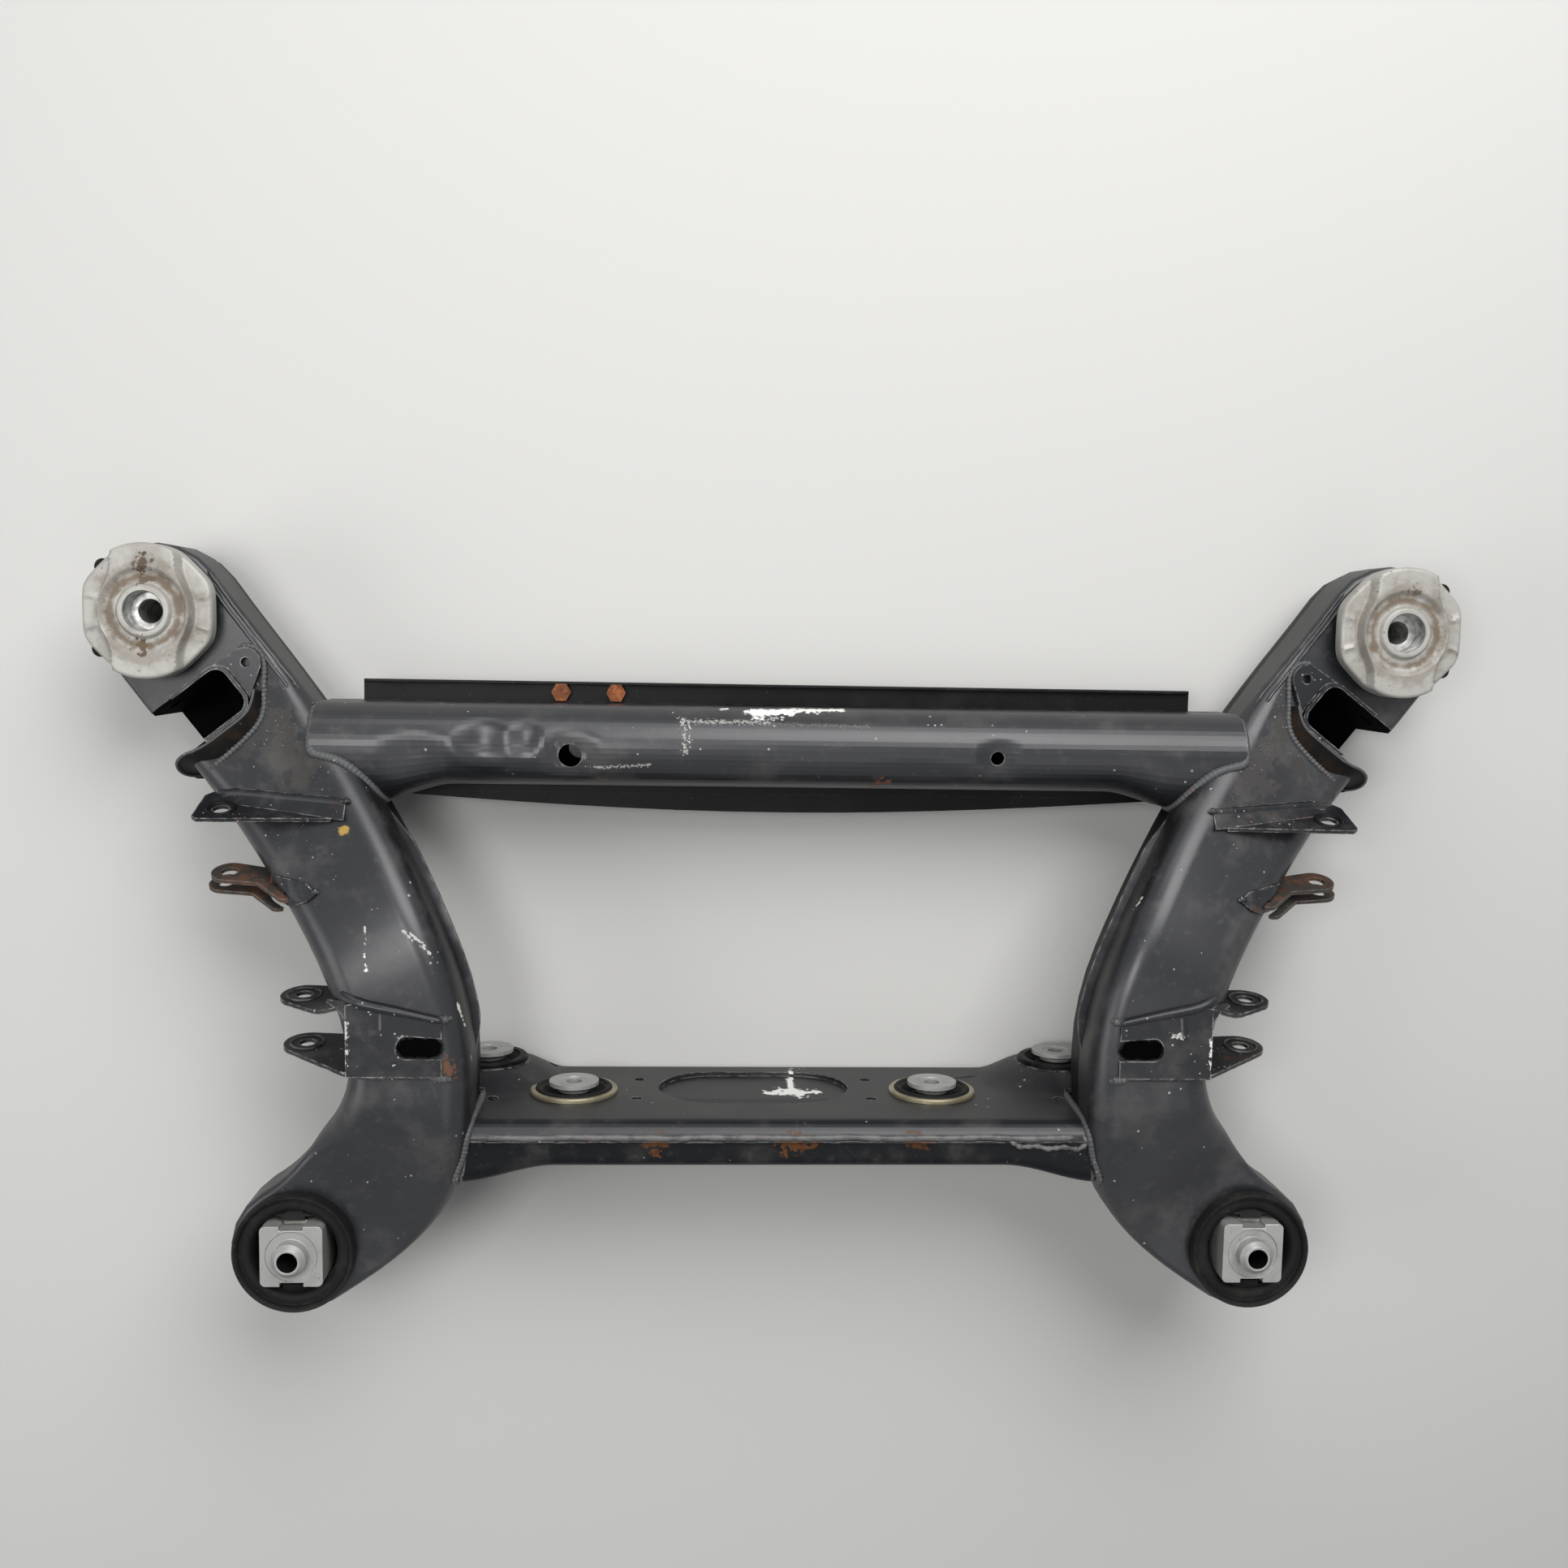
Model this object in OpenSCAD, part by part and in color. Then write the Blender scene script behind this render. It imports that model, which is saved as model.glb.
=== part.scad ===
// Rear axle subframe of a car, welded from pressed steel shells.
// X runs across the car, Y along it towards the wide end, Z up. The floor is at Z = 0.

/* [Overall] */
// Overall length, from lobe tip to lobe tip
frame_l = 560; // [540:1:600]
// Centre line to each wide-end body bolt
wide_span = 460; // [445:1:480]
// Centre line to each narrow-end body bolt
narrow_span = 353; // [343:1:365]
// Thickness of the pressed sheet
sheet_t = 2.5; // [2:0.1:3]

/* [Side members] */
// Radius of the wide-end lobes
wide_lobe_r = 50; // [49:0.5:54]
// Radius of the narrow-end lobes
narrow_lobe_r = 48; // [47:0.5:52]
// Half width of a side member between its lobes
member_half_w = 44; // [40:0.5:48]
// How much wider a half of a side member is beside the narrow crossmember
belly_w = 9; // [4:0.5:11]
// Centre line to the innermost point of the member axis
waist_x = 267; // [258:1:276]
// Narrow-end bolts to that point, along the car
waist_y = 138; // [128:1:148]
// Height of the wide-end lobe face
wide_face_z = 92; // [88:1:100]
// Height of the top of the arch
arch_z = 172; // [164:1:180]
// Height of the narrow-end lobe face
narrow_face_z = 140; // [132:1:146]
// Depth of the member at the wide lobe
wide_depth = 72; // [66:1:76]
// Depth of the member at the arch
arch_depth = 88; // [80:1:94]
// Depth of the member at the narrow lobe
narrow_depth = 65; // [60:1:72]
// Height of the skirt of the upper shells
skirt_h = 42; // [36:1:46]
// How far the lower shells reach up inside the upper ones
lap_h = 10; // [6:1:14]
// Edge radius of the upper shells between the lobes
shell_r = 20; // [14:1:24]
// Edge radius of the upper shells at the lobes
lobe_edge_r = 5; // [4:0.5:6]
// Edge radius of the lower shells
lower_r = 12; // [8:1:16]

/* [Wide crossmember] */
// Wide-end bolts to the tube axis, along the car
tube_y = -94; // [-102:1:-88]
// Radius of the half-round tube
tube_r = 30; // [27:0.5:32]
// Height of the top of the tube
tube_top_z = 116; // [108:1:118]
// Height of the joint between the flanges
joint_z = 45; // [42:1:50]
// Width of the flange on the wide-end side
far_flange_w = 16; // [15:0.5:22]
// Width of the flange on the narrow-end side
near_flange_w = 10; // [8:0.5:14]
// How far the lower flange bows out past the upper one
bow_w = 14; // [8:1:20]
// Distance from the flange ends to the side members
flange_end = 40; // [30:1:55]
// Depth of the tray below the joint
tray_depth = 22; // [16:1:26]
// Radius of the larger drain hole in the tube
tube_hole_r = 8.5; // [6:0.5:10]
// Radius of the smaller drain hole in the tube
tube_small_hole_r = 5; // [3:0.5:6]
// Centre line to the drain holes
tube_hole_x = 158; // [140:1:180]

/* [Narrow crossmember] */
// Narrow-end bolts to the flat face, along the car
face_y = 99; // [95:1:103]
// Height of the box
box_h = 155; // [148:1:158]
// Thickness of the box
box_t = 34; // [30:1:38]
// Depth of the front pressing's skirt
face_skirt = 14; // [12:1:18]
// Radius of the upper edge
box_top_r = 14; // [10:1:14]
// Radius of the lower edge
box_low_r = 8; // [5:0.5:10]
// How far the box runs on under each side member
wing_w = 34; // [32:1:44]
// Length of the pressed pocket
pocket_l = 148; // [120:1:156]
// Width of the pressed pocket
pocket_w = 84; // [60:1:92]
// Depth of the pressed pocket
pocket_depth = 6; // [3:0.5:9]
// Height of the pocket centre
pocket_z = 64; // [58:1:80]
// Sideways shift of the pocket and of the inner bushes
inner_shift = -18; // [-24:1:0]
// Radius of the small holes in the flat face
face_hole_r = 4; // [2.5:0.5:5]

/* [Body bushes] */
// Outer radius of the wide-end sleeves
wide_sleeve_r = 41; // [39:0.5:42]
// Outer radius of the narrow-end sleeves
narrow_sleeve_r = 40; // [38:0.5:41]
// Wall of the bush sleeves
sleeve_t = 2.5; // [2:0.1:3]
// Radius of the wide-end bolt bores
wide_bore_r = 8.5; // [7:0.1:9]
// Radius of the narrow-end bolt bores
narrow_bore_r = 7.3; // [6:0.1:8]
// Radius of the wide-end inner sleeves
wide_core_r = 17; // [15.5:0.5:19]
// Width of the stop plates
plate_w = 92; // [86:1:95]
// Length of the stop plates
plate_l = 97; // [90:1:99]
// Height of the stop plates
plate_h = 20; // [16:1:24]
// Thickness of the side wings of the stop plates
plate_wing_h = 11; // [8:0.5:14]
// Width of the raised band of the stop plates
band_w = 54; // [46:1:60]
// Radius of the recess in the stop plates
plate_recess_r = 14; // [11:0.5:16]
// Width of the square cores
core_w = 45; // [40:1:47]
// Height of the square cores above the lobe face
core_rise = 15; // [11:0.5:20]
// Radius of the spigots on the square cores
spigot_r = 12.5; // [10:0.5:14]
// Height of the spigots
spigot_h = 11; // [8:0.5:15]
// Height of the rubber collars at the narrow end
collar_h = 10; // [7:0.5:13]
// Height of the rubber collars under the stop plates
buffer_h = 8; // [6:0.5:12]

/* [Small bushes] */
// Half distance between the inner bushes
inner_pitch = 139; // [128:1:146]
// Height of the inner bushes
inner_z = 75; // [68:1:84]
// Outer radius of the bush sleeves
small_sleeve_r = 27; // [25:0.5:28]
// Radius of the ring flange of the inner bushes
inner_ring_r = 33.5; // [31:0.5:36]
// Radius of the ring flange of the outer bushes
outer_ring_r = 30; // [29:0.5:31]
// Thickness of the ring flanges
ring_t = 3; // [2:0.1:4]
// Height of the turrets that carry the outer bushes
turret_h = 14; // [10:0.5:18]
// Radius of the turrets
turret_r = 32; // [31.5:0.5:34]
// Side members' inner walls to the outer bush axes
outer_inset = -3; // [-6:0.5:6]
// Radius of the small bores
small_bore_r = 6.2; // [5:0.1:7]
// Radius of the small cores
small_core_r = 12; // [10:0.5:14]
// Radius of the head of the small cores
small_head_r = 19; // [16:0.5:21]
// Rise of the small cores above their rings
small_rise = 6; // [4:0.5:9]

/* [Link brackets] */
// Thickness of the bracket plates
bracket_t = 3; // [2.5:0.1:4]
// Radius of the bolt holes in the brackets
link_bore_r = 6; // [5:0.1:7]
// Wide-end bolts to the channel brackets, along the car
channel_y = -92; // [-98:1:-86]
// Angle of the channel brackets
channel_angle = 38; // [32:1:44]
// Clear width inside the channel brackets
channel_gap = 36; // [30:1:38]
// Depth to which the channel brackets are let into the side members
channel_depth = 68; // [62:1:72]
// Length of the arms of the channel brackets
channel_l = 66; // [60:1:74]
// Rise of the channel brackets above the side members
channel_rise = 10; // [8:1:14]
// Wide-end bolts to the tab brackets, along the car
tab_y = -142; // [-146:1:-136]
// Distance from the tab bracket to its ear
tab_pitch = 51; // [44:1:54]
// Set-back of the tab bolt hole from the outer wall of the side member
tab_inset = 7; // [2:1:10]
// Rise of the tab bolt hole above the side member
tab_rise = 15; // [12:1:20]
// Tilt of the tab and ear plates
tab_tilt = 20; // [14:1:24]
// Length of the tab plates
tab_l = 98; // [88:1:104]
// Narrow-end bolts to the fork brackets, along the car
fork_y = 167; // [162:1:174]
// Distance between the fork ears
fork_gap = 38; // [34:1:44]
// Reach of the fork bolt line outside the side members
fork_reach = 33; // [28:1:40]
// Drop of the fork bolt line below the top of the side member
fork_drop = 46; // [40:1:52]
// Tilt of the fork ears
fork_tilt = 10; // [6:1:14]
// Width of the fork slot
slot_w = 14.5; // [10:0.5:18]
// Length of the fork slot
slot_l = 32; // [24:1:38]

/* [Fasteners] */
// Width across the flats of the flange bolts
bolt_af = 13; // [11:0.5:14]
// Height of the bolt heads
bolt_head_h = 6; // [4:0.5:8]
// Radius of the bolt shanks
bolt_r = 4; // [3:0.1:4.5]
// Distance from the centre line to the first bolt
bolt_x = 170; // [150:1:190]
// Distance between the bolts
bolt_pitch = 42; // [30:1:60]

/* [Fits] */
// Gap left at welded and pressed joints
fit_gap = 0.15; // [0.1:0.05:0.3]

/* [Hidden] */
$fn = 48;

// Colours of the pieces
paint = [0.16, 0.17, 0.18];
cast_alu = [0.72, 0.71, 0.68];
black_rubber = [0.06, 0.06, 0.06];
yellow_zinc = [0.62, 0.56, 0.4];
rusty = [0.45, 0.22, 0.1];

// Lobe centres, waist and the control points of the member axis
wide_y = frame_l / 2 - wide_lobe_r;
narrow_y = -(frame_l / 2 - narrow_lobe_r);
wide_p = [wide_span, wide_y];
narrow_p = [narrow_span, narrow_y];
waist_p = [waist_x, narrow_y + waist_y];
tube_at = wide_y + tube_y;
channel_at = wide_y + channel_y;
tab_at = wide_y + tab_y;
face_at = narrow_y + face_y;
fork_at = narrow_y + fork_y;
wide_dir = [-0.576, -0.817];
narrow_dir = [0.85, -0.527];
wide_pull = 150;
waist_pull = 110;
waist_pull_low = 66;
narrow_pull = 53;
upper_axis = [wide_p, wide_p + wide_pull * wide_dir, waist_p + [0, waist_pull], waist_p];
lower_axis = [waist_p, waist_p - [0, waist_pull_low], narrow_p - narrow_pull * narrow_dir, narrow_p];

// Stations along the member axis: 0 at the wide lobe, 1 at the waist, 2 at the narrow lobe
upper_n = 19;
lower_n = 18;
last = upper_n + lower_n;
lobe_n = 10;
edge_n = 5;
ring_n = 2 * last + 2 * lobe_n;
stations = [for (i = [0 : last]) i <= upper_n ? i / upper_n : 1 + (i - upper_n) / lower_n];

function smooth(v) = let(c = min(1, max(0, v))) c * c * (3 - 2 * c);
function bezier(p, t) = pow(1 - t, 3) * p[0] + 3 * t * pow(1 - t, 2) * p[1]
  + 3 * t * t * (1 - t) * p[2] + pow(t, 3) * p[3];
function bezier_dir(p, t) = let(d = pow(1 - t, 2) * (p[1] - p[0])
  + 2 * t * (1 - t) * (p[2] - p[1]) + t * t * (p[3] - p[2])) d / norm(d);
function axis_p(u) = u <= 1 ? bezier(upper_axis, u) : bezier(lower_axis, u - 1);
function axis_dir(u) = u <= 1 ? bezier_dir(upper_axis, u) : bezier_dir(lower_axis, u - 1);
function inward(u) = let(d = axis_dir(u)) [d[1], -d[0]];
function half_w(u) = u <= 1
  ? member_half_w + (wide_lobe_r - member_half_w) * (1 - smooth((u - 0.25) / 0.5))
  : member_half_w + belly_w * smooth((u - 1) / 0.5)
    + (narrow_lobe_r - member_half_w - belly_w) * smooth((u - 1.45) / 0.5);
// The lobes stay flat out to their edges, as shares of a station
wide_flat = wide_lobe_r / (3 * wide_pull);
narrow_flat = narrow_lobe_r / (3 * narrow_pull);
function rise(u) = u <= 1 ? smooth((u - wide_flat) / (0.8 - wide_flat)) : 1;
function fall(u) = smooth((u - 1.1) / (0.9 - narrow_flat));
function top_z(u) = u <= 1
  ? wide_face_z + (arch_z - wide_face_z) * rise(u)
  : arch_z + (narrow_face_z - arch_z) * fall(u);
function depth(u) = u <= 1
  ? wide_depth + (arch_depth - wide_depth) * rise(u)
  : arch_depth + (narrow_depth - arch_depth) * fall(u);
function low_z(u) = top_z(u) - depth(u);
function edge_r(u) = lobe_edge_r + (shell_r - lobe_edge_r)
  * smooth((u - 0.1) / 0.25) * (1 - smooth((u - 1.3) / 0.4));

// Station at which the outer or inner wall passes a given Y, found by halving
function wall_p(u, side) = axis_p(u) + side * half_w(u) * inward(u);
function wall_u(y, side, a, b, k) = k == 0 ? (a + b) / 2
  : wall_p((a + b) / 2, side)[1] > y ? wall_u(y, side, (a + b) / 2, b, k - 1)
  : wall_u(y, side, a, (a + b) / 2, k - 1);
function outer_u(y) = wall_u(y, -1, 0, 2, 24);
function inner_u(y) = wall_u(y, 1, 0, 2, 24);
function outer_x(y) = wall_p(outer_u(y), -1)[0];
function inner_x(y) = wall_p(inner_u(y), 1)[0];

// Outline of a member as base point, direction, half width and station
outline = concat(
  [for (i = [0 : last]) let(u = stations[i]) [axis_p(u), inward(u), half_w(u), u]],
  [for (k = [1 : lobe_n - 1]) let(a = 180 * k / lobe_n, n = inward(2), d = axis_dir(2))
    [narrow_p, cos(a) * n + sin(a) * d, narrow_lobe_r, 2]],
  [for (i = [last : -1 : 0]) let(u = stations[i]) [axis_p(u), -inward(u), half_w(u), u]],
  [for (k = [1 : lobe_n - 1]) let(a = 180 * k / lobe_n, n = inward(0), d = axis_dir(0))
    [wide_p, -cos(a) * n - sin(a) * d, wide_lobe_r, 0]]);

// Rings of points at a set distance inside the outline, one after another
function at(e, offset, z) = let(p = e[0] + e[1] * (e[2] - offset)) [p[0], p[1], z];
function upper_rings(in) = concat(
  [for (e = outline) at(e, in, top_z(e[3]) - skirt_h)],
  [for (k = [0 : edge_n]) for (e = outline) let(r = edge_r(e[3]), a = 90 * k / edge_n)
    at(e, in + (r - in) * (1 - cos(a)), top_z(e[3]) - r + (r - in) * sin(a))]);
function lower_rings(in) = let(skin = sheet_t + fit_gap) concat(
  [for (e = outline) at(e, skin + in, top_z(e[3]) - skirt_h + lap_h)],
  [for (k = [0 : edge_n]) for (e = outline) let(r = lower_r, a = 90 * k / edge_n)
    at(e, skin + in + (r - in) * (1 - cos(a)), low_z(e[3]) + r - (r - in) * sin(a))]);

function flip(f) = [for (i = [len(f) - 1 : -1 : 0]) f[i]];
function next(j) = (j + 1) % ring_n;
function wall_faces(base) = concat(
  [for (j = [0 : ring_n - 1]) [base + j, base + ring_n + j, base + ring_n + next(j), base + next(j)]],
  [for (k = [1 : edge_n]) for (j = [0 : ring_n - 1]) for (h = [0, 1])
    let(a = base + k * ring_n + j, b = base + k * ring_n + next(j))
    h == 0 ? [a, a + ring_n, b + ring_n] : [a, b + ring_n, b]]);
function far_side(i) = 2 * last + lobe_n - i;
function cap_faces(base) = let(s = base + (edge_n + 1) * ring_n) concat(
  [for (i = [0 : last - 1]) for (h = [0, 1])
    h == 0 ? [s + i, s + far_side(i), s + far_side(i + 1)] : [s + i, s + far_side(i + 1), s + i + 1]],
  [[for (k = [lobe_n : -1 : 0]) s + last + k]],
  [[for (k = [lobe_n : -1 : 0]) s + (2 * last + lobe_n + k) % ring_n]]);
function skin_faces(base) = concat(wall_faces(base), cap_faces(base));
function rim_faces(inner) = [for (j = [0 : ring_n - 1]) for (h = [0, 1])
  h == 0 ? [j, next(j), inner + next(j)] : [j, inner + next(j), inner + j]];

// Upper and lower pressings of the right side member, before they are pierced
module pressing(outer, inner, upside_down) {
  start = len(outer);
  faces = concat(skin_faces(0), [for (f = skin_faces(start)) flip(f)], rim_faces(start));
  polyhedron(concat(outer, inner), upside_down ? [for (f = faces) flip(f)] : faces);
}

// Solid body of the right side member from one station to another, grown by a gap
function section(i, g) = let(u = stations[i], h = half_w(u) + g, r = edge_r(u) + g, z = top_z(u) + g,
  up = concat([[h, low_z(u) - g]],
    [for (k = [0 : edge_n]) let(a = 90 * k / edge_n) [h - r * (1 - cos(a)), z - r + r * sin(a)]]),
  both = concat(up, [for (k = [len(up) - 1 : -1 : 0]) [-up[k][0], up[k][1]]]))
  [for (q = both) let(p = axis_p(u) + inward(u) * q[0]) [p[0], p[1], q[1]]];
module member_solid(first, final, g) {
  m = 2 * edge_n + 4;
  rows = final - first;
  points = [for (i = [first : final]) each section(i, g)];
  sides = [for (i = [0 : rows - 1]) for (k = [0 : m - 1]) for (h = [0, 1])
    let(a = i * m + k, b = i * m + (k + 1) % m)
    h == 0 ? [a, b, b + m] : [a, b + m, a + m]];
  ends = [[for (k = [m - 1 : -1 : 0]) k], [for (k = [0 : m - 1]) rows * m + k]];
  polyhedron(points, concat(sides, ends));
}
module both_members(first, final, g) {
  member_solid(first, final, g);
  mirror([1, 0, 0]) member_solid(first, final, g);
}

// Gap at the welds, wide enough for the flat facets of the side members
weld_gap = fit_gap + 0.25;

// Helpers that lay a flat shape out along X or Y
function arc(x, y, r, from, to, n) = [for (k = [0 : n]) let(a = from + (to - from) * k / n)
  [x + r * cos(a), y + r * sin(a)]];
module along_x(half) {
  translate([-half, 0, 0]) rotate([90, 0, 90]) linear_extrude(2 * half) children();
}
module along_y(high, thick) {
  translate([0, high, 0]) rotate([90, 0, 0]) linear_extrude(thick) children();
}
module at_wide() {
  translate([wide_span, wide_y, 0]) children();
}
module at_narrow() {
  translate([narrow_span, narrow_y, 0]) children();
}
module left_side() {
  mirror([1, 0, 0]) children();
}

// Places of the channel brackets, shared with the notches in the side members
channel_u = outer_u(channel_at);
channel_dir = [cos(channel_angle), -sin(channel_angle)];
channel_p = wall_p(channel_u, -1) - channel_depth * channel_dir;
channel_w = channel_gap + 2 * bracket_t;
channel_corner = 12;
channel_top = top_z(channel_u) + channel_rise;
channel_sink = 8;
channel_floor = low_z(channel_u) + channel_sink;
module at_channel() {
  translate([channel_p[0], channel_p[1], 0]) rotate([0, 0, -channel_angle]) children();
}
module channel_shape(back, w, r, front) {
  polygon(concat([[front, -w / 2]], arc(back + r, -w / 2 + r, r, 270, 180, 6),
    arc(back + r, w / 2 - r, r, 180, 90, 6), [[front, w / 2]]));
}
module member_piercings() {
  at_wide() translate([0, 0, -1]) cylinder(r = wide_sleeve_r + fit_gap, h = arch_z);
  at_narrow() translate([0, 0, -1]) cylinder(r = narrow_sleeve_r + fit_gap, h = arch_z * 2);
  at_channel() translate([0, 0, -1]) linear_extrude(arch_z)
    channel_shape(-fit_gap, channel_w + 2 * fit_gap, channel_corner, 2 * channel_l);
}
module side_member_upper_right() {
  color(paint) difference() {
    pressing(upper_rings(0), upper_rings(sheet_t), false);
    member_piercings();
  }
}
module side_member_upper_left() {
  left_side() side_member_upper_right();
}
module side_member_lower_right() {
  color(paint) difference() {
    pressing(lower_rings(0), lower_rings(sheet_t), true);
    member_piercings();
  }
}
module side_member_lower_left() {
  left_side() side_member_lower_right();
}

// Wide crossmember: half-round tube with flanges over a shallow tray
tube_axis_z = tube_top_z - tube_r;
tube_lap = 2;
tube_half = inner_x(tube_at + tube_r) - tube_lap;
far_y = tube_at + tube_r + far_flange_w;
near_y = tube_at - tube_r - near_flange_w;
flange_half = inner_x(far_y) - flange_end;
tube_first = 1;
tube_final = 13;
module tube_section() {
  t = sheet_t;
  polygon(concat(
    [[far_y, joint_z], [far_y, joint_z + t], [tube_at + tube_r, joint_z + t]],
    arc(tube_at, tube_axis_z, tube_r, 0, 180, 24),
    [[tube_at - tube_r, joint_z + t], [near_y, joint_z + t], [near_y, joint_z],
      [tube_at - tube_r + t, joint_z]],
    arc(tube_at, tube_axis_z, tube_r - t, 180, 0, 24),
    [[tube_at + tube_r - t, joint_z]]));
}
module flange_ends() {
  far_w = 3 * (far_flange_w + bow_w);
  for (s = [0, 1]) mirror([s, 0, 0]) {
    translate([flange_half, tube_at + tube_r, joint_z - tray_depth])
      cube([wide_span, far_w, 2 * tray_depth]);
    translate([flange_half, tube_at - tube_r - far_w, joint_z - tray_depth])
      cube([wide_span, far_w, 2 * tray_depth]);
  }
}
bolt_y = tube_at + tube_r + far_flange_w / 2;
module bolt_places() {
  for (k = [0, 1]) translate([-bolt_x + k * bolt_pitch, bolt_y, joint_z]) children();
}
hole_back = 6;
small_hole_back = 4;
module tube_holes() {
  translate([-tube_hole_x, tube_at - hole_back, 0]) cylinder(r = tube_hole_r, h = arch_z);
  translate([tube_hole_x, tube_at - small_hole_back, tube_axis_z])
    cylinder(r = tube_small_hole_r, h = arch_z);
}
module wide_crossmember_upper() {
  color(paint) difference() {
    along_x(tube_half) tube_section();
    flange_ends();
    tube_holes();
    bolt_places() translate([0, 0, -tray_depth]) cylinder(r = bolt_r + fit_gap, h = 2 * tray_depth);
    both_members(tube_first, tube_final, weld_gap);
  }
}
tray_top = joint_z - fit_gap;
tray_slope = 4;
module tray_section() {
  t = sheet_t;
  a = tube_at + tube_r - t;
  b = tube_at - tube_r + t;
  polygon([[far_y, tray_top], [a, tray_top], [a - tray_slope, tray_top - tray_depth + t],
    [b + tray_slope, tray_top - tray_depth + t], [b, tray_top], [near_y, tray_top], [near_y, tray_top - t],
    [b - t, tray_top - t], [b + tray_slope - t, tray_top - tray_depth],
    [a - tray_slope + t, tray_top - tray_depth],
    [a + t, tray_top - t], [far_y, tray_top - t]]);
}
module bowed_flange() {
  n = 16;
  translate([0, 0, tray_top - sheet_t]) linear_extrude(sheet_t) polygon(concat(
    [[flange_half, near_y], [flange_half, near_y + near_flange_w / 2],
      [-flange_half, near_y + near_flange_w / 2]],
    [for (k = [0 : n]) let(v = -1 + 2 * k / n) [v * flange_half, near_y - bow_w * cos(90 * v)]]));
}
module wide_crossmember_lower() {
  color(paint) difference() {
    union() {
      along_x(tube_half) tray_section();
      bowed_flange();
    }
    flange_ends();
    tube_holes();
    bolt_places() translate([0, 0, -tray_depth]) cylinder(r = bolt_r + fit_gap, h = 2 * tray_depth);
    both_members(tube_first, tube_final, weld_gap);
  }
}

// Narrow crossmember: a flat box on edge, carried on under the side members
box_half = inner_x(face_at) + wing_w;
back_y = face_at - box_t;
box_first = 17;
box_final = 35;
outer_x_pos = inner_x(face_at) - outer_inset;
turret_low = 1;
outer_z = turret_r + turret_low;
turret_y = face_at + turret_h;
cover_r = 8;
module face_section() {
  t = sheet_t;
  e = face_at - face_skirt;
  polygon(concat([[e, 0]],
    arc(face_at - box_low_r, box_low_r, box_low_r, -90, 0, 6),
    arc(face_at - box_top_r, box_h - box_top_r, box_top_r, 0, 90, 8),
    [[e, box_h], [e, box_h - t]],
    arc(face_at - box_top_r, box_h - box_top_r, box_top_r - t, 90, 0, 8),
    arc(face_at - box_low_r, box_low_r, box_low_r - t, 0, -90, 6),
    [[e, t]]));
}
module cover_section() {
  t = sheet_t;
  low = sheet_t + fit_gap;
  high = box_h - sheet_t - fit_gap;
  r = cover_r;
  e = face_at - max(box_top_r, box_low_r) + sheet_t;
  polygon(concat([[e - t, low]],
    [for (q = arc(back_y + r, low + r, r, 270, 180, 6)) q],
    [for (q = arc(back_y + r, high - r, r, 180, 90, 6)) q],
    [[e - t, high], [e - t, high - t]],
    [for (q = arc(back_y + r, high - r, r - t, 90, 180, 6)) q],
    [for (q = arc(back_y + r, low + r, r - t, 180, 270, 6)) q],
    [[e - t, low + t]]));
}
module pocket_shape(grow) {
  w = pocket_w + 2 * grow;
  run = pocket_l - pocket_w;
  translate([inner_shift, pocket_z]) {
    square([run, w], center = true);
    for (s = [-1, 1]) translate([s * run / 2, 0]) circle(r = w / 2);
  }
}
module bush_holes() {
  for (s = [-1, 1]) {
    along_y(turret_y + 1, 4 * box_t) translate([inner_shift + s * inner_pitch, inner_z])
      circle(r = small_sleeve_r + fit_gap);
    along_y(turret_y + 1, 4 * box_t) translate([s * outer_x_pos, outer_z])
      circle(r = small_sleeve_r + fit_gap);
  }
}
hole_low = 21;
hole_high = 29;
hole_out = 16;
side_hole_in = 8;
side_hole_drop = 60;
low_hole_in = 80;
low_hole_z = 14;
module face_holes() {
  along_y(face_at + 1, sheet_t + 2) {
    for (s = [-1, 1]) for (z = [pocket_z - hole_low, pocket_z + hole_high])
      translate([inner_shift + s * (pocket_l / 2 + hole_out), z]) circle(r = face_hole_r);
    for (s = [-1, 1]) translate([s * (inner_x(face_at) - side_hole_in), box_h - side_hole_drop])
      circle(r = face_hole_r);
    translate([-box_half + low_hole_in, low_hole_z]) circle(r = face_hole_r);
  }
}
module narrow_crossmember_face() {
  color(paint) difference() {
    union() {
      along_x(box_half) face_section();
      along_y(face_at - sheet_t / 2, pocket_depth + sheet_t / 2) pocket_shape(sheet_t);
      for (s = [-1, 1]) along_y(turret_y, turret_h + sheet_t / 2)
        translate([s * outer_x_pos, outer_z]) circle(r = turret_r);
    }
    along_y(face_at + 1, pocket_depth + 1 - sheet_t) pocket_shape(0);
    for (s = [-1, 1]) along_y(turret_y - sheet_t, turret_h + sheet_t)
      translate([s * outer_x_pos, outer_z]) circle(r = turret_r - sheet_t);
    bush_holes();
    face_holes();
    both_members(box_first, box_final, weld_gap);
  }
}
module narrow_crossmember_cover() {
  color(paint) difference() {
    along_x(box_half) cover_section();
    bush_holes();
    both_members(box_first, box_final, weld_gap);
  }
}

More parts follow.
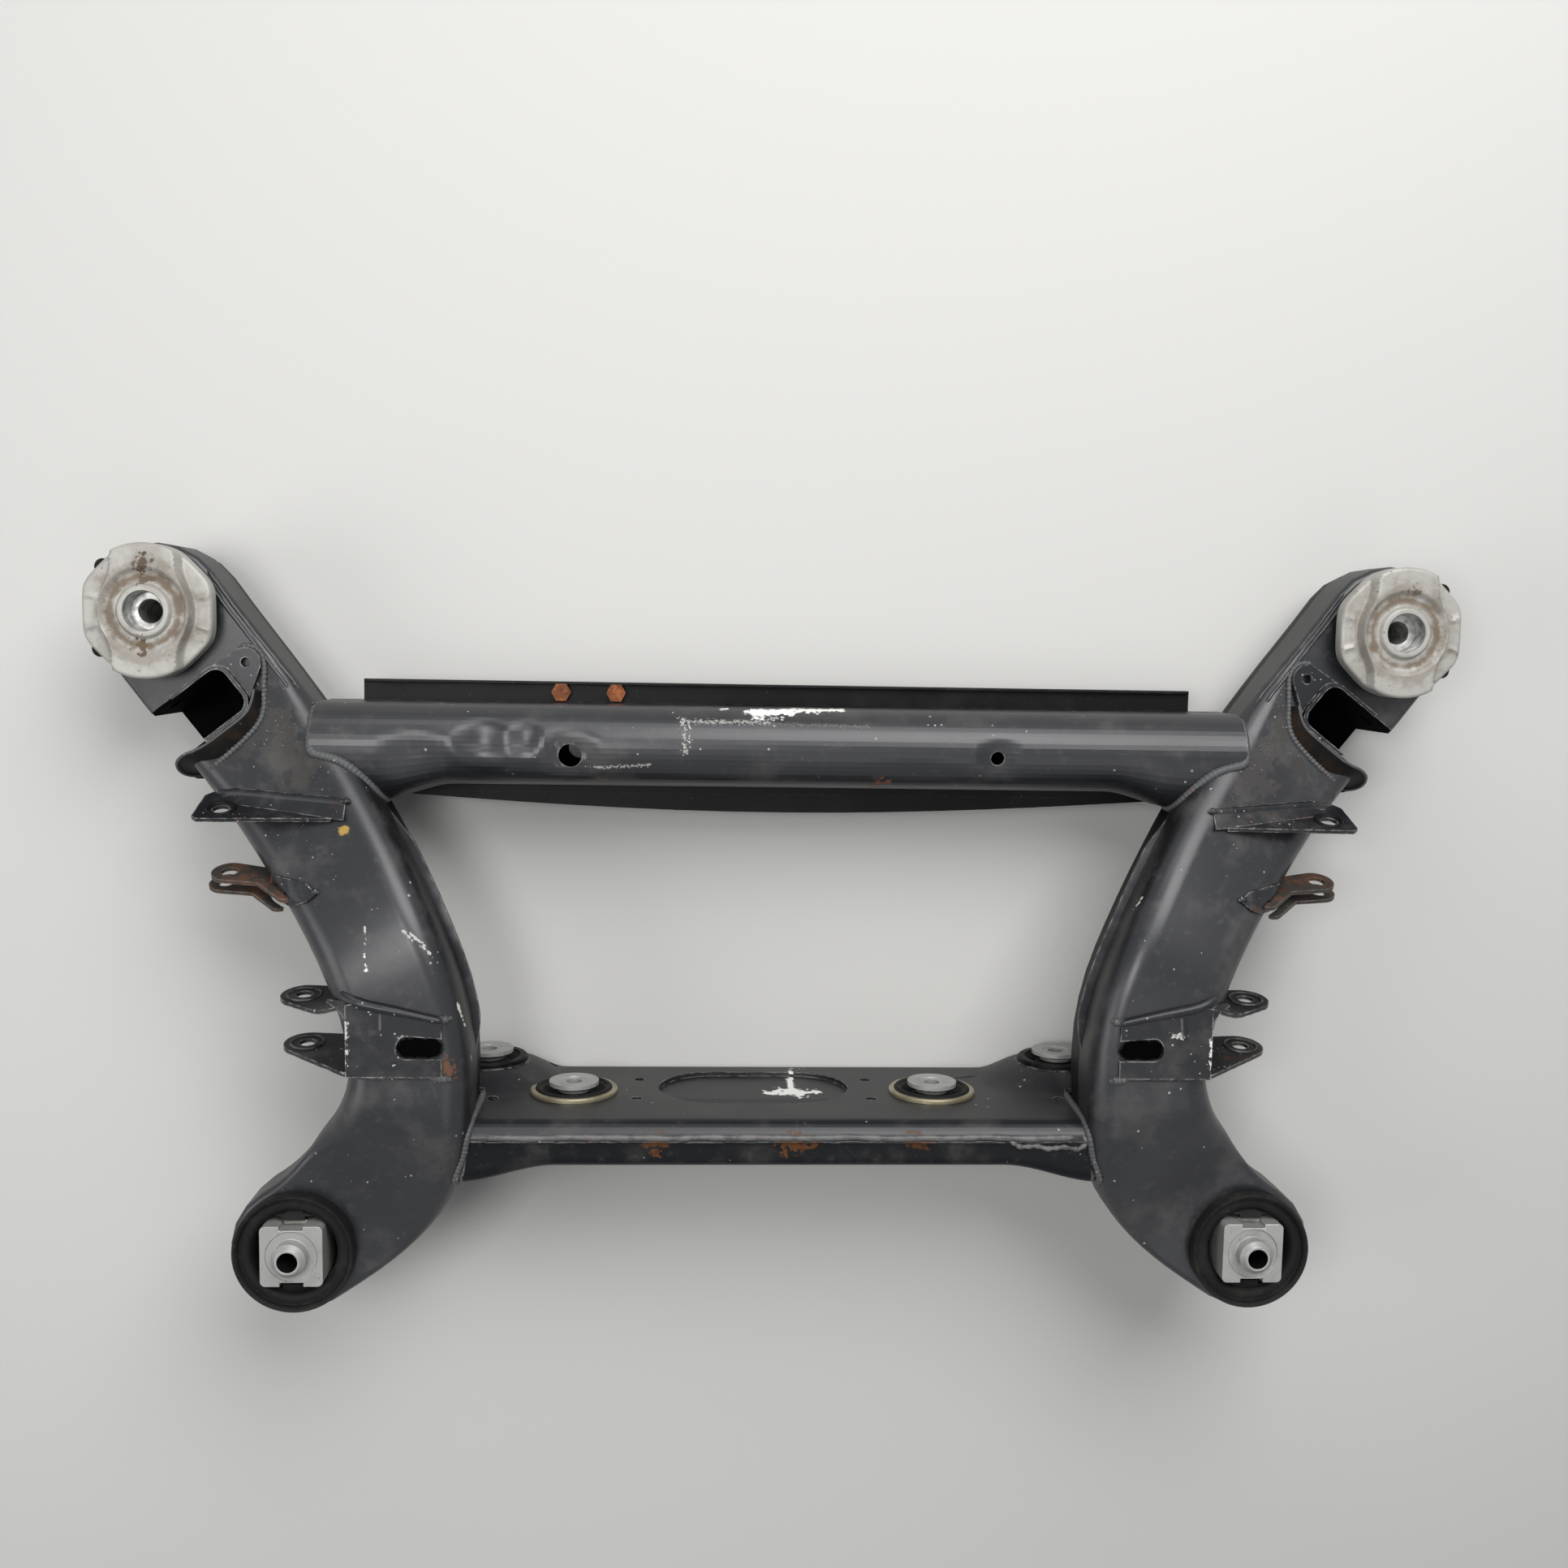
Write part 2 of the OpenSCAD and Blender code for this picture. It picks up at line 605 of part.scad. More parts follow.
// Wide-end bushes
wide_low_z = wide_face_z - wide_depth;
wide_inner_r = wide_sleeve_r - sleeve_t;
plate_z = wide_face_z + buffer_h;
sleeve_low = 4;
sleeve_high = 3;
module wide_bush_sleeve_right() {
  h = wide_depth + sleeve_low + sleeve_high;
  color(paint) at_wide() translate([0, 0, wide_low_z - sleeve_low]) difference() {
    cylinder(r = wide_sleeve_r, h = h);
    translate([0, 0, -1]) cylinder(r = wide_inner_r, h = h + 2);
  }
}
module wide_bush_sleeve_left() {
  left_side() wide_bush_sleeve_right();
}
rubber_drop = 8;
lug_r = 6;
lug_gap = 1;
module wide_bush_rubber_right() {
  rim = wide_lobe_r - lobe_edge_r;
  face = wide_face_z + fit_gap;
  core = wide_core_r + fit_gap;
  skin = wide_inner_r - fit_gap;
  color(black_rubber) at_wide() {
    rotate_extrude() polygon([[core, wide_low_z - rubber_drop],
      [wide_inner_r - rubber_drop, wide_low_z - rubber_drop], [skin, wide_low_z],
      [skin, face + sleeve_high], [wide_sleeve_r + fit_gap, face + sleeve_high],
      [wide_sleeve_r + fit_gap, face], [rim, face], [rim, plate_z - fit_gap], [core, plate_z - fit_gap]]);
    for (a = [42, -36]) rotate([0, 0, a]) translate([wide_lobe_r - lug_r / 2, 0, wide_face_z + lug_gap])
      cylinder(r = lug_r, h = buffer_h - 2 * lug_gap);
  }
}
module wide_bush_rubber_left() {
  left_side() wide_bush_rubber_right();
}
foot_w = 8;
foot_t = 5;
module wide_bush_core_right() {
  color(cast_alu) at_wide() difference() {
    union() {
      cylinder(r = wide_core_r, h = plate_z - fit_gap);
      cylinder(r = wide_core_r + foot_w, h = foot_t);
    }
    translate([0, 0, -1]) cylinder(r = wide_bore_r, h = plate_z + 2);
  }
}
module wide_bush_core_left() {
  left_side() wide_bush_core_right();
}
plate_corner_w = 2;
module plate_outline(inset) {
  intersection() {
    circle(r = plate_l / 2 - inset, $fn = 96);
    square([plate_w - 2 * inset, plate_l], center = true);
    rotate(45) square(plate_w + plate_corner_w - 2 * inset, center = true);
  }
}
pad_w = 8.5;
hub_r = 36;
groove = 2.5;
groove_w = 5;
seat_t = 4;
band_inset = 1;
module stop_plate_right() {
  pad_r = plate_recess_r + pad_w;
  color(cast_alu) at_wide() translate([0, 0, plate_z]) difference() {
    union() {
      linear_extrude(plate_wing_h) plate_outline(0);
      linear_extrude(plate_h) intersection() {
        plate_outline(band_inset);
        union() {
          square([band_w, plate_l], center = true);
          circle(r = hub_r);
        }
      }
    }
    translate([0, 0, plate_h - groove]) difference() {
      cylinder(r = hub_r - groove_w, h = groove + 1);
      translate([0, 0, -1]) cylinder(r = pad_r, h = groove + 3);
    }
    translate([0, 0, -1]) cylinder(r = wide_bore_r, h = plate_h + 2);
    translate([0, 0, seat_t]) cylinder(r = plate_recess_r, h = plate_h);
  }
}
module stop_plate_left() {
  left_side() stop_plate_right();
}

// Narrow-end bushes
narrow_low_z = narrow_face_z - narrow_depth;
narrow_inner_r = narrow_sleeve_r - sleeve_t;
narrow_core_r = 16;
void_w = 6.5;
void_r = narrow_inner_r - void_w;
core_sink = 25;
core_low = narrow_face_z - core_sink;
module narrow_bush_sleeve_right() {
  h = narrow_depth + 2 * sleeve_high;
  color(paint) at_narrow() translate([0, 0, narrow_low_z - sleeve_high]) difference() {
    cylinder(r = narrow_sleeve_r, h = h);
    translate([0, 0, -1]) cylinder(r = narrow_inner_r, h = h + 2);
  }
}
module narrow_bush_sleeve_left() {
  left_side() narrow_bush_sleeve_right();
}
web_low = 4;
web_t = 18;
web_rise = 6;
rim_r = 4;
void_lip = 3;
stop_gap = 1.5;
stop_w = 34;
stop_rib_w = 16;
stop_t = 10;
stop_rib_t = 3;
stop_drop = 8;
module narrow_bush_rubber_right() {
  rim = narrow_lobe_r - lobe_edge_r;
  face = narrow_face_z + fit_gap;
  top = narrow_face_z + collar_h;
  core = narrow_core_r + fit_gap;
  skin = narrow_inner_r - fit_gap;
  seat = narrow_sleeve_r + fit_gap;
  web_top = narrow_low_z + web_low + web_t;
  color(black_rubber) at_narrow() {
    rotate_extrude() polygon([[core, narrow_low_z + web_low], [skin, narrow_low_z],
      [skin, face + sleeve_high], [seat, face + sleeve_high], [seat, face], [rim, face], [rim, top - rim_r],
      [rim - rim_r * 0.3, top - rim_r * 0.3], [rim - rim_r, top], [void_r + void_lip, top],
      [void_r, top - void_lip], [void_r, web_top + web_rise], [core, web_top]]);
    for (s = [0, 180]) rotate([0, 0, s]) intersection() {
      translate([0, 0, core_low]) cylinder(r = void_r + 1, h = core_rise + core_sink - stop_drop);
      translate([0, core_w / 2 + stop_gap, core_low]) {
        translate([-stop_w / 2, stop_rib_t, 0]) cube([stop_w, stop_t, narrow_depth]);
        translate([-stop_rib_w / 2, 0, 0]) cube([stop_rib_w, stop_t, narrow_depth]);
      }
    }
  }
}
module narrow_bush_rubber_left() {
  left_side() narrow_bush_rubber_right();
}
core_corner = 4;
core_notch = 3;
core_notch_w = 17;
core_notch_h = 14;
core_drop = 8;
spigot_tip_h = 4;
spigot_tip_w = 3.5;
spigot_ring_w = 6;
spigot_ring_t = 1;
module narrow_bush_core_right() {
  top = narrow_face_z + core_rise;
  flat_w = core_w - 2 * core_corner;
  low = narrow_low_z - core_drop;
  color(cast_alu) at_narrow() difference() {
    union() {
      translate([0, 0, low]) cylinder(r = narrow_core_r, h = narrow_depth);
      translate([0, 0, core_low]) linear_extrude(top - core_low) {
        square([core_w, flat_w], center = true);
        square([flat_w, core_w], center = true);
        for (x = [-1, 1]) for (y = [-1, 1]) translate([x, y] * flat_w / 2) circle(r = core_corner);
      }
      translate([0, 0, top - spigot_ring_t])
        cylinder(r = spigot_r, h = spigot_h - spigot_tip_h + spigot_ring_t);
      translate([0, 0, top + spigot_h - spigot_tip_h])
        cylinder(r1 = spigot_r, r2 = spigot_r - spigot_tip_w, h = spigot_tip_h);
    }
    translate([0, 0, low - 1]) cylinder(r = narrow_bore_r, h = 3 * narrow_depth);
    for (s = [-1, 1]) translate([-core_notch_w / 2, s * core_w / 2 - core_notch, top - core_notch_h])
      cube([core_notch_w, 2 * core_notch, 2 * core_notch_h]);
    translate([0, 0, top - spigot_ring_t]) difference() {
      cylinder(r = spigot_r + spigot_ring_w, h = 2 * spigot_ring_t);
      translate([0, 0, -1]) cylinder(r = spigot_r, h = 2 * spigot_ring_t + 2);
    }
  }
}
module narrow_bush_core_left() {
  left_side() narrow_bush_core_right();
}

// Small bushes with their axes along the car, built on a seat at a given Y
small_inner_r = small_sleeve_r - sleeve_t;
module small_at(x, z, seat) {
  translate([x, seat, z]) rotate([-90, 0, 0]) children();
}
ring_edge = 1;
ring_tail = 2;
rubber_dip = 3;
rubber_low = 1;
core_tail = 4;
head_edge = 3;
bore_lip_w = 3;
bore_lip_h = 1;
module small_ring(seat, flange_r) {
  run = seat - back_y + ring_tail;
  top = fit_gap + ring_t;
  color(yellow_zinc) rotate_extrude() polygon([[small_inner_r, -run], [small_sleeve_r, -run],
    [small_sleeve_r, fit_gap], [flange_r, fit_gap], [flange_r, top - ring_edge],
    [flange_r - ring_edge, top], [small_inner_r, top]]);
}
module small_rubber(seat) {
  run = seat - back_y;
  core = small_core_r + fit_gap;
  skin = small_inner_r - fit_gap;
  color(black_rubber) rotate_extrude() polygon([[core, -run], [skin, -run], [skin, ring_t - rubber_low],
    [(skin + core) / 2, -rubber_dip], [core, ring_t - 2 * rubber_low]]);
}
module small_core(seat) {
  run = seat - back_y + core_tail;
  head = ring_t + small_rise;
  lip = small_bore_r + bore_lip_w;
  color(cast_alu) rotate_extrude() polygon([[small_bore_r, -run], [small_core_r, -run],
    [small_core_r, ring_t], [small_head_r, head - head_edge], [small_head_r, head],
    [lip + bore_lip_h, head], [lip, head - bore_lip_h], [small_bore_r, head - bore_lip_h]]);
}
module inner_at(s) {
  small_at(inner_shift + s * inner_pitch, inner_z, face_at) children();
}
module outer_at(s) {
  small_at(s * outer_x_pos, outer_z, turret_y) children();
}
module inner_bush_ring_left() { inner_at(-1) small_ring(face_at, inner_ring_r); }
module inner_bush_ring_right() { inner_at(1) small_ring(face_at, inner_ring_r); }
module inner_bush_rubber_left() { inner_at(-1) small_rubber(face_at); }
module inner_bush_rubber_right() { inner_at(1) small_rubber(face_at); }
module inner_bush_core_left() { inner_at(-1) small_core(face_at); }
module inner_bush_core_right() { inner_at(1) small_core(face_at); }
module outer_bush_ring_left() { outer_at(-1) small_ring(turret_y, outer_ring_r); }
module outer_bush_ring_right() { outer_at(1) small_ring(turret_y, outer_ring_r); }
module outer_bush_rubber_left() { outer_at(-1) small_rubber(turret_y); }
module outer_bush_rubber_right() { outer_at(1) small_rubber(turret_y); }
module outer_bush_core_left() { outer_at(-1) small_core(turret_y); }
module outer_bush_core_right() { outer_at(1) small_core(turret_y); }

// Channel brackets, let into notches in the side members
channel_bolt_back = 15;
channel_bolt_drop = 26;
channel_bolt = channel_l - channel_bolt_back;
channel_bolt_z = channel_top - channel_bolt_drop;
arm_cut_l = 6;
arm_cut_h = 12;
ear_plate_h = 3;
ear_plate_x = -13;
ear_plate_y = 8;
ear_plate_r = 11;
ear_hole_r = 3.5;
channel_first = 0;
channel_final = 10;
module ear_plate() {
  difference() {
    hull() {
      translate([ear_plate_x, ear_plate_y]) circle(r = ear_plate_r);
      translate([channel_corner, -channel_w / 2]) square([1, channel_w]);
    }
    channel_shape(bracket_t / 2, channel_gap + bracket_t, channel_corner - bracket_t / 2, channel_l);
    translate([ear_plate_x, ear_plate_y]) circle(r = ear_hole_r);
  }
}
module channel_bracket_right() {
  t = bracket_t;
  color(paint) at_channel() difference() {
    union() {
      difference() {
        translate([0, 0, channel_floor]) linear_extrude(channel_top - channel_floor)
          channel_shape(0, channel_w, channel_corner, channel_l);
        translate([0, 0, channel_floor + t]) linear_extrude(channel_top)
          channel_shape(t, channel_gap, channel_corner - t, channel_l + 1);
        translate([channel_bolt - arm_cut_l, -channel_w, channel_top - arm_cut_h])
          cube([channel_l, 2 * channel_w, 2 * arm_cut_h]);
      }
      difference() {
        translate([0, 0, channel_top - channel_rise + ear_plate_h]) linear_extrude(t) ear_plate();
        rotate([0, 0, channel_angle]) translate([-channel_p[0], -channel_p[1], 0])
          member_solid(channel_first, channel_final, weld_gap);
      }
    }
    translate([channel_bolt, -channel_w, channel_bolt_z]) rotate([-90, 0, 0])
      cylinder(r = link_bore_r, h = 2 * channel_w);
  }
}
module channel_bracket_left() {
  left_side() channel_bracket_right();
}

// Tab and ear brackets: two tilted plates across the outer edge of a side member
tab_u = outer_u(tab_at);
tab_p = [outer_x(tab_at) - tab_inset, tab_at, top_z(tab_u) + tab_rise];
ear_y = tab_at - tab_pitch * cos(tab_tilt);
ear_out = tab_p[0] - outer_x(ear_y);
ear_low = top_z(outer_u(ear_y)) - tab_p[2] + tab_pitch * sin(tab_tilt);
tab_first = 4;
tab_final = 18;
tab_end = 18;
tab_high = 15;
tab_low = 30;
tab_side = 22;
tab_bevel = 4;
tab_slope = 2;
tab_tip_low = 6;
ear_r = 13;
knee_r = 11;
knee_rise = 6;
foot_r = 7;
foot_in = 16;
foot_rise = 4;
module at_tab(run) {
  translate(tab_p) rotate([tab_tilt, 0, 0]) translate([0, run, 0]) children();
}
module tab_bracket_right() {
  color(paint) difference() {
    at_tab(0) along_y(bracket_t / 2, bracket_t) difference() {
      polygon([[tab_end, -tab_side], [tab_end, tab_high - tab_bevel], [tab_end - tab_bevel, tab_high],
        [tab_end - tab_l, tab_high - tab_slope], [tab_end - tab_l, tab_tip_low],
        [tab_end - tab_bevel - tab_l, -tab_low], [tab_end - tab_tip_low, -tab_low]]);
      circle(r = link_bore_r);
    }
    member_solid(tab_first, tab_final, weld_gap);
  }
}
module tab_bracket_left() {
  left_side() tab_bracket_right();
}
module ear_bracket_right() {
  foot = [-ear_out - foot_in, ear_low + foot_rise];
  knee = [-ear_out + foot_rise, knee_rise];
  color(rusty) difference() {
    at_tab(-tab_pitch) along_y(bracket_t / 2, bracket_t) difference() {
      union() {
        hull() {
          circle(r = ear_r);
          translate(knee) circle(r = knee_r);
        }
        hull() {
          translate(knee) circle(r = knee_r);
          translate(foot) circle(r = foot_r);
        }
      }
      circle(r = link_bore_r);
    }
    member_solid(tab_first, tab_final, weld_gap);
  }
}
module ear_bracket_left() {
  left_side() ear_bracket_right();
}

// Fork brackets: a slotted saddle on top with two ears beside the side member
fork_u = outer_u(fork_at);
fork_p = [outer_x(fork_at) + fork_reach, fork_at, top_z(fork_u) - fork_drop];
fork_top = arch_z + fit_gap;
fork_first = 12;
fork_final = 28;
saddle_in = 73;
saddle_out = 6;
fork_in = fork_p[0] - fork_reach - saddle_in;
fork_out = fork_p[0] - fork_reach - saddle_out;
fork_eye_r = 17;
fork_heel_r = 16;
fork_heel_in = 2;
fork_seat_w = 10;
fork_seat_h = 4;
fork_slant = 6;
module fork_ear(run, slant) {
  rise = (fork_top + bracket_t / 2 - fork_p[2] - run * sin(fork_tilt)) / cos(fork_tilt);
  translate(fork_p) rotate([fork_tilt, 0, 0]) along_y(run + bracket_t / 2, bracket_t) difference() {
    hull() {
      circle(r = fork_eye_r);
      translate([-fork_reach - fork_heel_in, fork_heel_in]) circle(r = fork_heel_r);
      translate([fork_out - fork_p[0] - fork_seat_w, rise - fork_seat_h]) square([fork_seat_w, fork_seat_h]);
      translate([fork_in - fork_p[0] + slant, rise - fork_seat_h]) square([fork_seat_w, fork_seat_h]);
    }
    circle(r = link_bore_r);
  }
}
module fork_bracket_right() {
  w = fork_gap + bracket_t;
  y = fork_at - (fork_top - fork_p[2]) * sin(fork_tilt);
  color(paint) difference() {
    union() {
      translate([fork_in, y - w / 2, fork_top]) cube([fork_out - fork_in, w, bracket_t]);
      fork_ear(fork_gap / 2, fork_slant);
      fork_ear(-fork_gap / 2, 0);
    }
    translate([fork_in - 1, y - slot_w / 2, fork_top - slot_w])
      cube([slot_l - slot_w / 2 + 1, slot_w, 2 * slot_w]);
    translate([fork_in + slot_l - slot_w / 2, y, fork_top - slot_w]) cylinder(r = slot_w / 2, h = 2 * slot_w);
    member_solid(fork_first, fork_final, weld_gap);
  }
}
module fork_bracket_left() {
  left_side() fork_bracket_right();
}

// Hexagon bolts through the far flange of the wide crossmember
bolt_tail = 12;
module flange_bolts() {
  color(rusty) bolt_places() {
    translate([0, 0, sheet_t + fit_gap]) cylinder(d = bolt_af / cos(30), h = bolt_head_h, $fn = 6);
    translate([0, 0, -bolt_tail]) cylinder(r = bolt_r, h = bolt_tail + bolt_head_h);
  }
}

side_member_upper_left();
side_member_upper_right();
side_member_lower_left();
side_member_lower_right();
wide_crossmember_upper();
wide_crossmember_lower();
narrow_crossmember_face();
narrow_crossmember_cover();
wide_bush_sleeve_left();
wide_bush_sleeve_right();
wide_bush_rubber_left();
wide_bush_rubber_right();
wide_bush_core_left();
wide_bush_core_right();
stop_plate_left();
stop_plate_right();
narrow_bush_sleeve_left();
narrow_bush_sleeve_right();
narrow_bush_rubber_left();
narrow_bush_rubber_right();
narrow_bush_core_left();
narrow_bush_core_right();
inner_bush_ring_left();
inner_bush_ring_right();
inner_bush_rubber_left();
inner_bush_rubber_right();
inner_bush_core_left();
inner_bush_core_right();
outer_bush_ring_left();
outer_bush_ring_right();
outer_bush_rubber_left();
outer_bush_rubber_right();
outer_bush_core_left();
outer_bush_core_right();
channel_bracket_left();
channel_bracket_right();
tab_bracket_left();
tab_bracket_right();
ear_bracket_left();
ear_bracket_right();
fork_bracket_left();
fork_bracket_right();
flange_bolts();
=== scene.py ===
import math
import random
import bmesh
import bpy
from mathutils import Matrix, Vector, noise
from mathutils.bvhtree import BVHTree


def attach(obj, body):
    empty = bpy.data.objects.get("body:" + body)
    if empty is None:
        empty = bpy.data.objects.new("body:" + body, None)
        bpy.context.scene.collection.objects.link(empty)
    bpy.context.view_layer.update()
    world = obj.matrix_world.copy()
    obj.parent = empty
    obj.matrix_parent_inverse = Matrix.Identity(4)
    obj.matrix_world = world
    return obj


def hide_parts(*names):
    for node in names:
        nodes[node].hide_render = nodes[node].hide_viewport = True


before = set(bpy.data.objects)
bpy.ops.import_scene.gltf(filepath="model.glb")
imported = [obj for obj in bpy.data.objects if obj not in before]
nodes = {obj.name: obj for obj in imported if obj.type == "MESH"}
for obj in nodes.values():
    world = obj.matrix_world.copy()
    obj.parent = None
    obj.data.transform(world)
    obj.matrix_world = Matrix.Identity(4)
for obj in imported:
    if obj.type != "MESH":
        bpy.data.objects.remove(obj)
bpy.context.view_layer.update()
scene = bpy.context.scene
sides = (("left", -1.0), ("right", 1.0))
print("frame loaded:", len(nodes), "pieces")


def mm(x, y, z):  # the photo was measured in millimetres
    return Vector((x, y, z)) * 0.001


def mirrored(s, spot):  # the same spot on the left or the right
    return (s * spot[0], spot[1], spot[2])


def tint(red, green, blue):  # screen colour to scene colour
    def straight(c):
        c /= 255.0
        return c / 12.92 if c <= 0.04045 else ((c + 0.055) / 1.055) ** 2.4
    return (straight(red), straight(green), straight(blue), 1.0)


# small helpers for the node trees

def put(tree, kind, **values):
    node = tree.nodes.new(kind)
    for key, value in values.items():
        setattr(node, key, value)
    return node


def join(tree, value, socket):  # a socket is linked, a plain value is set
    if isinstance(value, bpy.types.NodeSocket):
        tree.links.new(value, socket)
    else:
        socket.default_value = value


def calc(tree, how, a, b=0.0, clamp=False):
    node = put(tree, "ShaderNodeMath", operation=how, use_clamp=clamp)
    join(tree, a, node.inputs[0])
    join(tree, b, node.inputs[1])
    return node.outputs[0]


def times(tree, a, b):
    return calc(tree, "MULTIPLY", a, b)


def flip(tree, mask):  # full where the mask is empty
    return calc(tree, "SUBTRACT", 1.0, mask)


def vec(tree, how, a, b=(0.0, 0.0, 0.0), out="Vector"):
    node = put(tree, "ShaderNodeVectorMath", operation=how)
    join(tree, a, node.inputs[0])
    join(tree, b, node.inputs[1])
    return node.outputs[out]


def stretch(tree, value, low, high):  # smooth step from low to high
    node = put(tree, "ShaderNodeMapRange", interpolation_type="SMOOTHSTEP")
    join(tree, value, node.inputs["Value"])
    join(tree, low, node.inputs["From Min"])
    join(tree, high, node.inputs["From Max"])
    return node.outputs["Result"]


def clouds(tree, where, scale, detail, rough):
    node = put(tree, "ShaderNodeTexNoise")
    join(tree, where, node.inputs["Vector"])
    join(tree, scale, node.inputs["Scale"])
    node.inputs["Detail"].default_value = detail
    node.inputs["Roughness"].default_value = rough
    return node.outputs["Fac"]


def blend(tree, share, a, b, kind="RGBA"):
    node = put(tree, "ShaderNodeMix", data_type=kind)
    slots = [s for s in node.inputs if s.enabled]
    join(tree, share, slots[0])
    join(tree, a, slots[1])
    join(tree, b, slots[2])
    return [s for s in node.outputs if s.enabled][0]


def newGroup(name, inputs):  # every effect here puts out one mask
    tree = bpy.data.node_groups.new(name, "ShaderNodeTree")
    for label, kind, value in inputs:
        socket = tree.interface.new_socket(label, in_out="INPUT", socket_type=kind)
        socket.default_value = value
    tree.interface.new_socket("Mask", in_out="OUTPUT", socket_type="NodeSocketFloat")
    start = put(tree, "NodeGroupInput")
    end = put(tree, "NodeGroupOutput")
    where = put(tree, "ShaderNodeTexCoord").outputs["Object"]
    return tree, start.outputs, end.inputs["Mask"], where


# camera, floor and lamps

photoCamera = {
    "place": (-0.0594, 0.2211, 1.2450),
    "right": (0.99859, 0.01713, 0.05022),
    "up": (-0.01218, 0.99518, -0.09731),
    "back": (-0.05165, 0.09656, 0.99399),
    "lens": 35.40,
    "sensor": 36.0,
}


def addCamera():
    data = bpy.data.cameras.new("photoCamera")
    data.lens = photoCamera["lens"]
    data.sensor_width = photoCamera["sensor"]
    data.sensor_height = photoCamera["sensor"]
    data.clip_start = 0.01
    obj = bpy.data.objects.new("photoCamera", data)
    scene.collection.objects.link(obj)
    turn = Matrix((photoCamera["right"], photoCamera["up"], photoCamera["back"])).transposed()
    obj.matrix_world = Matrix.Translation(photoCamera["place"]) @ turn.to_4x4()
    scene.camera = obj


studio = {
    "floorSize": 40.0,
    "floorDrop": 0.0004,
    "floorFade": (1.1, 3.0),     # between these distances it passes into the backdrop
    "floorColour": tint(204, 203, 200),
    "floorRough": 0.75,
    "worldColour": tint(206, 210, 216),
    "worldStrength": 0.16,
    "shownColour": tint(212, 213, 214),
    "lamps": (  # name, place, aim, width, height, watts
        ("ceilingLamp", (0.6, 1.55, 1.95), (0.0, 0.1, 0.05), 1.8, 1.4, 50.0),
        ("wallLamp", (0.1, 2.0, 1.05), (0.0, 0.1, 0.1), 2.2, 0.6, 11.0),
        ("leftLamp", (-0.62, 0.28, 2.0), (-0.25, 0.05, 0.1), 0.6, 0.6, 13.0),
        ("frontLamp", (0.6, -1.2, 3.0), (0.0, 0.0, 0.05), 1.4, 1.4, 6.0),
        ("sideLamp", (-2.1, -0.2, 1.5), (0.0, 0.0, 0.05), 1.2, 1.2, 12.0),
    ),
}


def seenRays(tree):  # rays from the camera, or by way of a shiny or clear face
    rays = put(tree, "ShaderNodeLightPath").outputs
    mirrored = calc(tree, "MAXIMUM", rays["Is Glossy Ray"], rays["Is Transmission Ray"])
    return calc(tree, "MAXIMUM", rays["Is Camera Ray"], mirrored)


def eitherShader(tree, share, first, second, end):
    either = put(tree, "ShaderNodeMixShader")
    join(tree, share, either.inputs[0])
    tree.links.new(first.outputs[0], either.inputs[1])
    tree.links.new(second.outputs[0], either.inputs[2])
    tree.links.new(either.outputs[0], end.inputs["Surface"])


def addFloor():
    bm = bmesh.new()
    bmesh.ops.create_grid(bm, x_segments=1, y_segments=1, size=studio["floorSize"] / 2)
    bmesh.ops.translate(bm, verts=bm.verts, vec=(0, 0, -studio["floorDrop"]))
    mesh = bpy.data.meshes.new("floor")
    bm.to_mesh(mesh)
    bm.free()
    mat = bpy.data.materials.new("paleFloor")
    mat.use_nodes = True
    tree = mat.node_tree
    shader = tree.nodes["Principled BSDF"]
    shader.inputs["Base Color"].default_value = studio["floorColour"]
    shader.inputs["Roughness"].default_value = studio["floorRough"]
    away = vec(tree, "LENGTH", put(tree, "ShaderNodeTexCoord").outputs["Object"], out="Value")
    plain = put(tree, "ShaderNodeEmission")  # far floor, shown in the colour of the backdrop
    plain.inputs["Color"].default_value = studio["shownColour"]
    share = times(tree, stretch(tree, away, *studio["floorFade"]), seenRays(tree))
    eitherShader(tree, share, shader, plain, tree.nodes["Material Output"])
    mesh.materials.append(mat)
    floor = bpy.data.objects.new("floor", mesh)
    scene.collection.objects.link(floor)


def addBackdrop():
    world = bpy.data.worlds.new("softRoom")
    scene.world = world
    world.use_nodes = True
    tree = world.node_tree
    sky = tree.nodes["Background"]
    sky.inputs["Color"].default_value = studio["worldColour"]
    sky.inputs["Strength"].default_value = studio["worldStrength"]
    shown = put(tree, "ShaderNodeBackground")  # what is seen past the floor
    shown.inputs["Color"].default_value = studio["shownColour"]
    eitherShader(tree, seenRays(tree), sky, shown, tree.nodes["World Output"])


def addLamps():
    for name, spot, aim, width, height, watts in studio["lamps"]:
        data = bpy.data.lights.new(name, "AREA")
        data.shape = "RECTANGLE"
        data.size = width
        data.size_y = height
        data.energy = watts
        lamp = bpy.data.objects.new(name, data)
        scene.collection.objects.link(lamp)
        lamp.location = spot
        lamp.rotation_euler = (Vector(aim) - Vector(spot)).to_track_quat("-Z", "Y").to_euler()


addCamera()
addFloor()
addBackdrop()
addLamps()
scene.view_settings.view_transform = "Standard"
print("camera and studio ready")

number = "NodeSocketFloat"
arrow = "NodeSocketVector"


def makeDirt():  # patches of dust or stain
    tree, get, end, where = newGroup("dirtPatches", (
        ("Scale", number, 20.0), ("Low", number, 0.45), ("High", number, 0.7), ("Shift", arrow, (0, 0, 0))))
    moved = vec(tree, "ADD", where, get["Shift"])
    tree.links.new(stretch(tree, clouds(tree, moved, get["Scale"], 6.0, 0.6), get["Low"], get["High"]), end)
    return tree


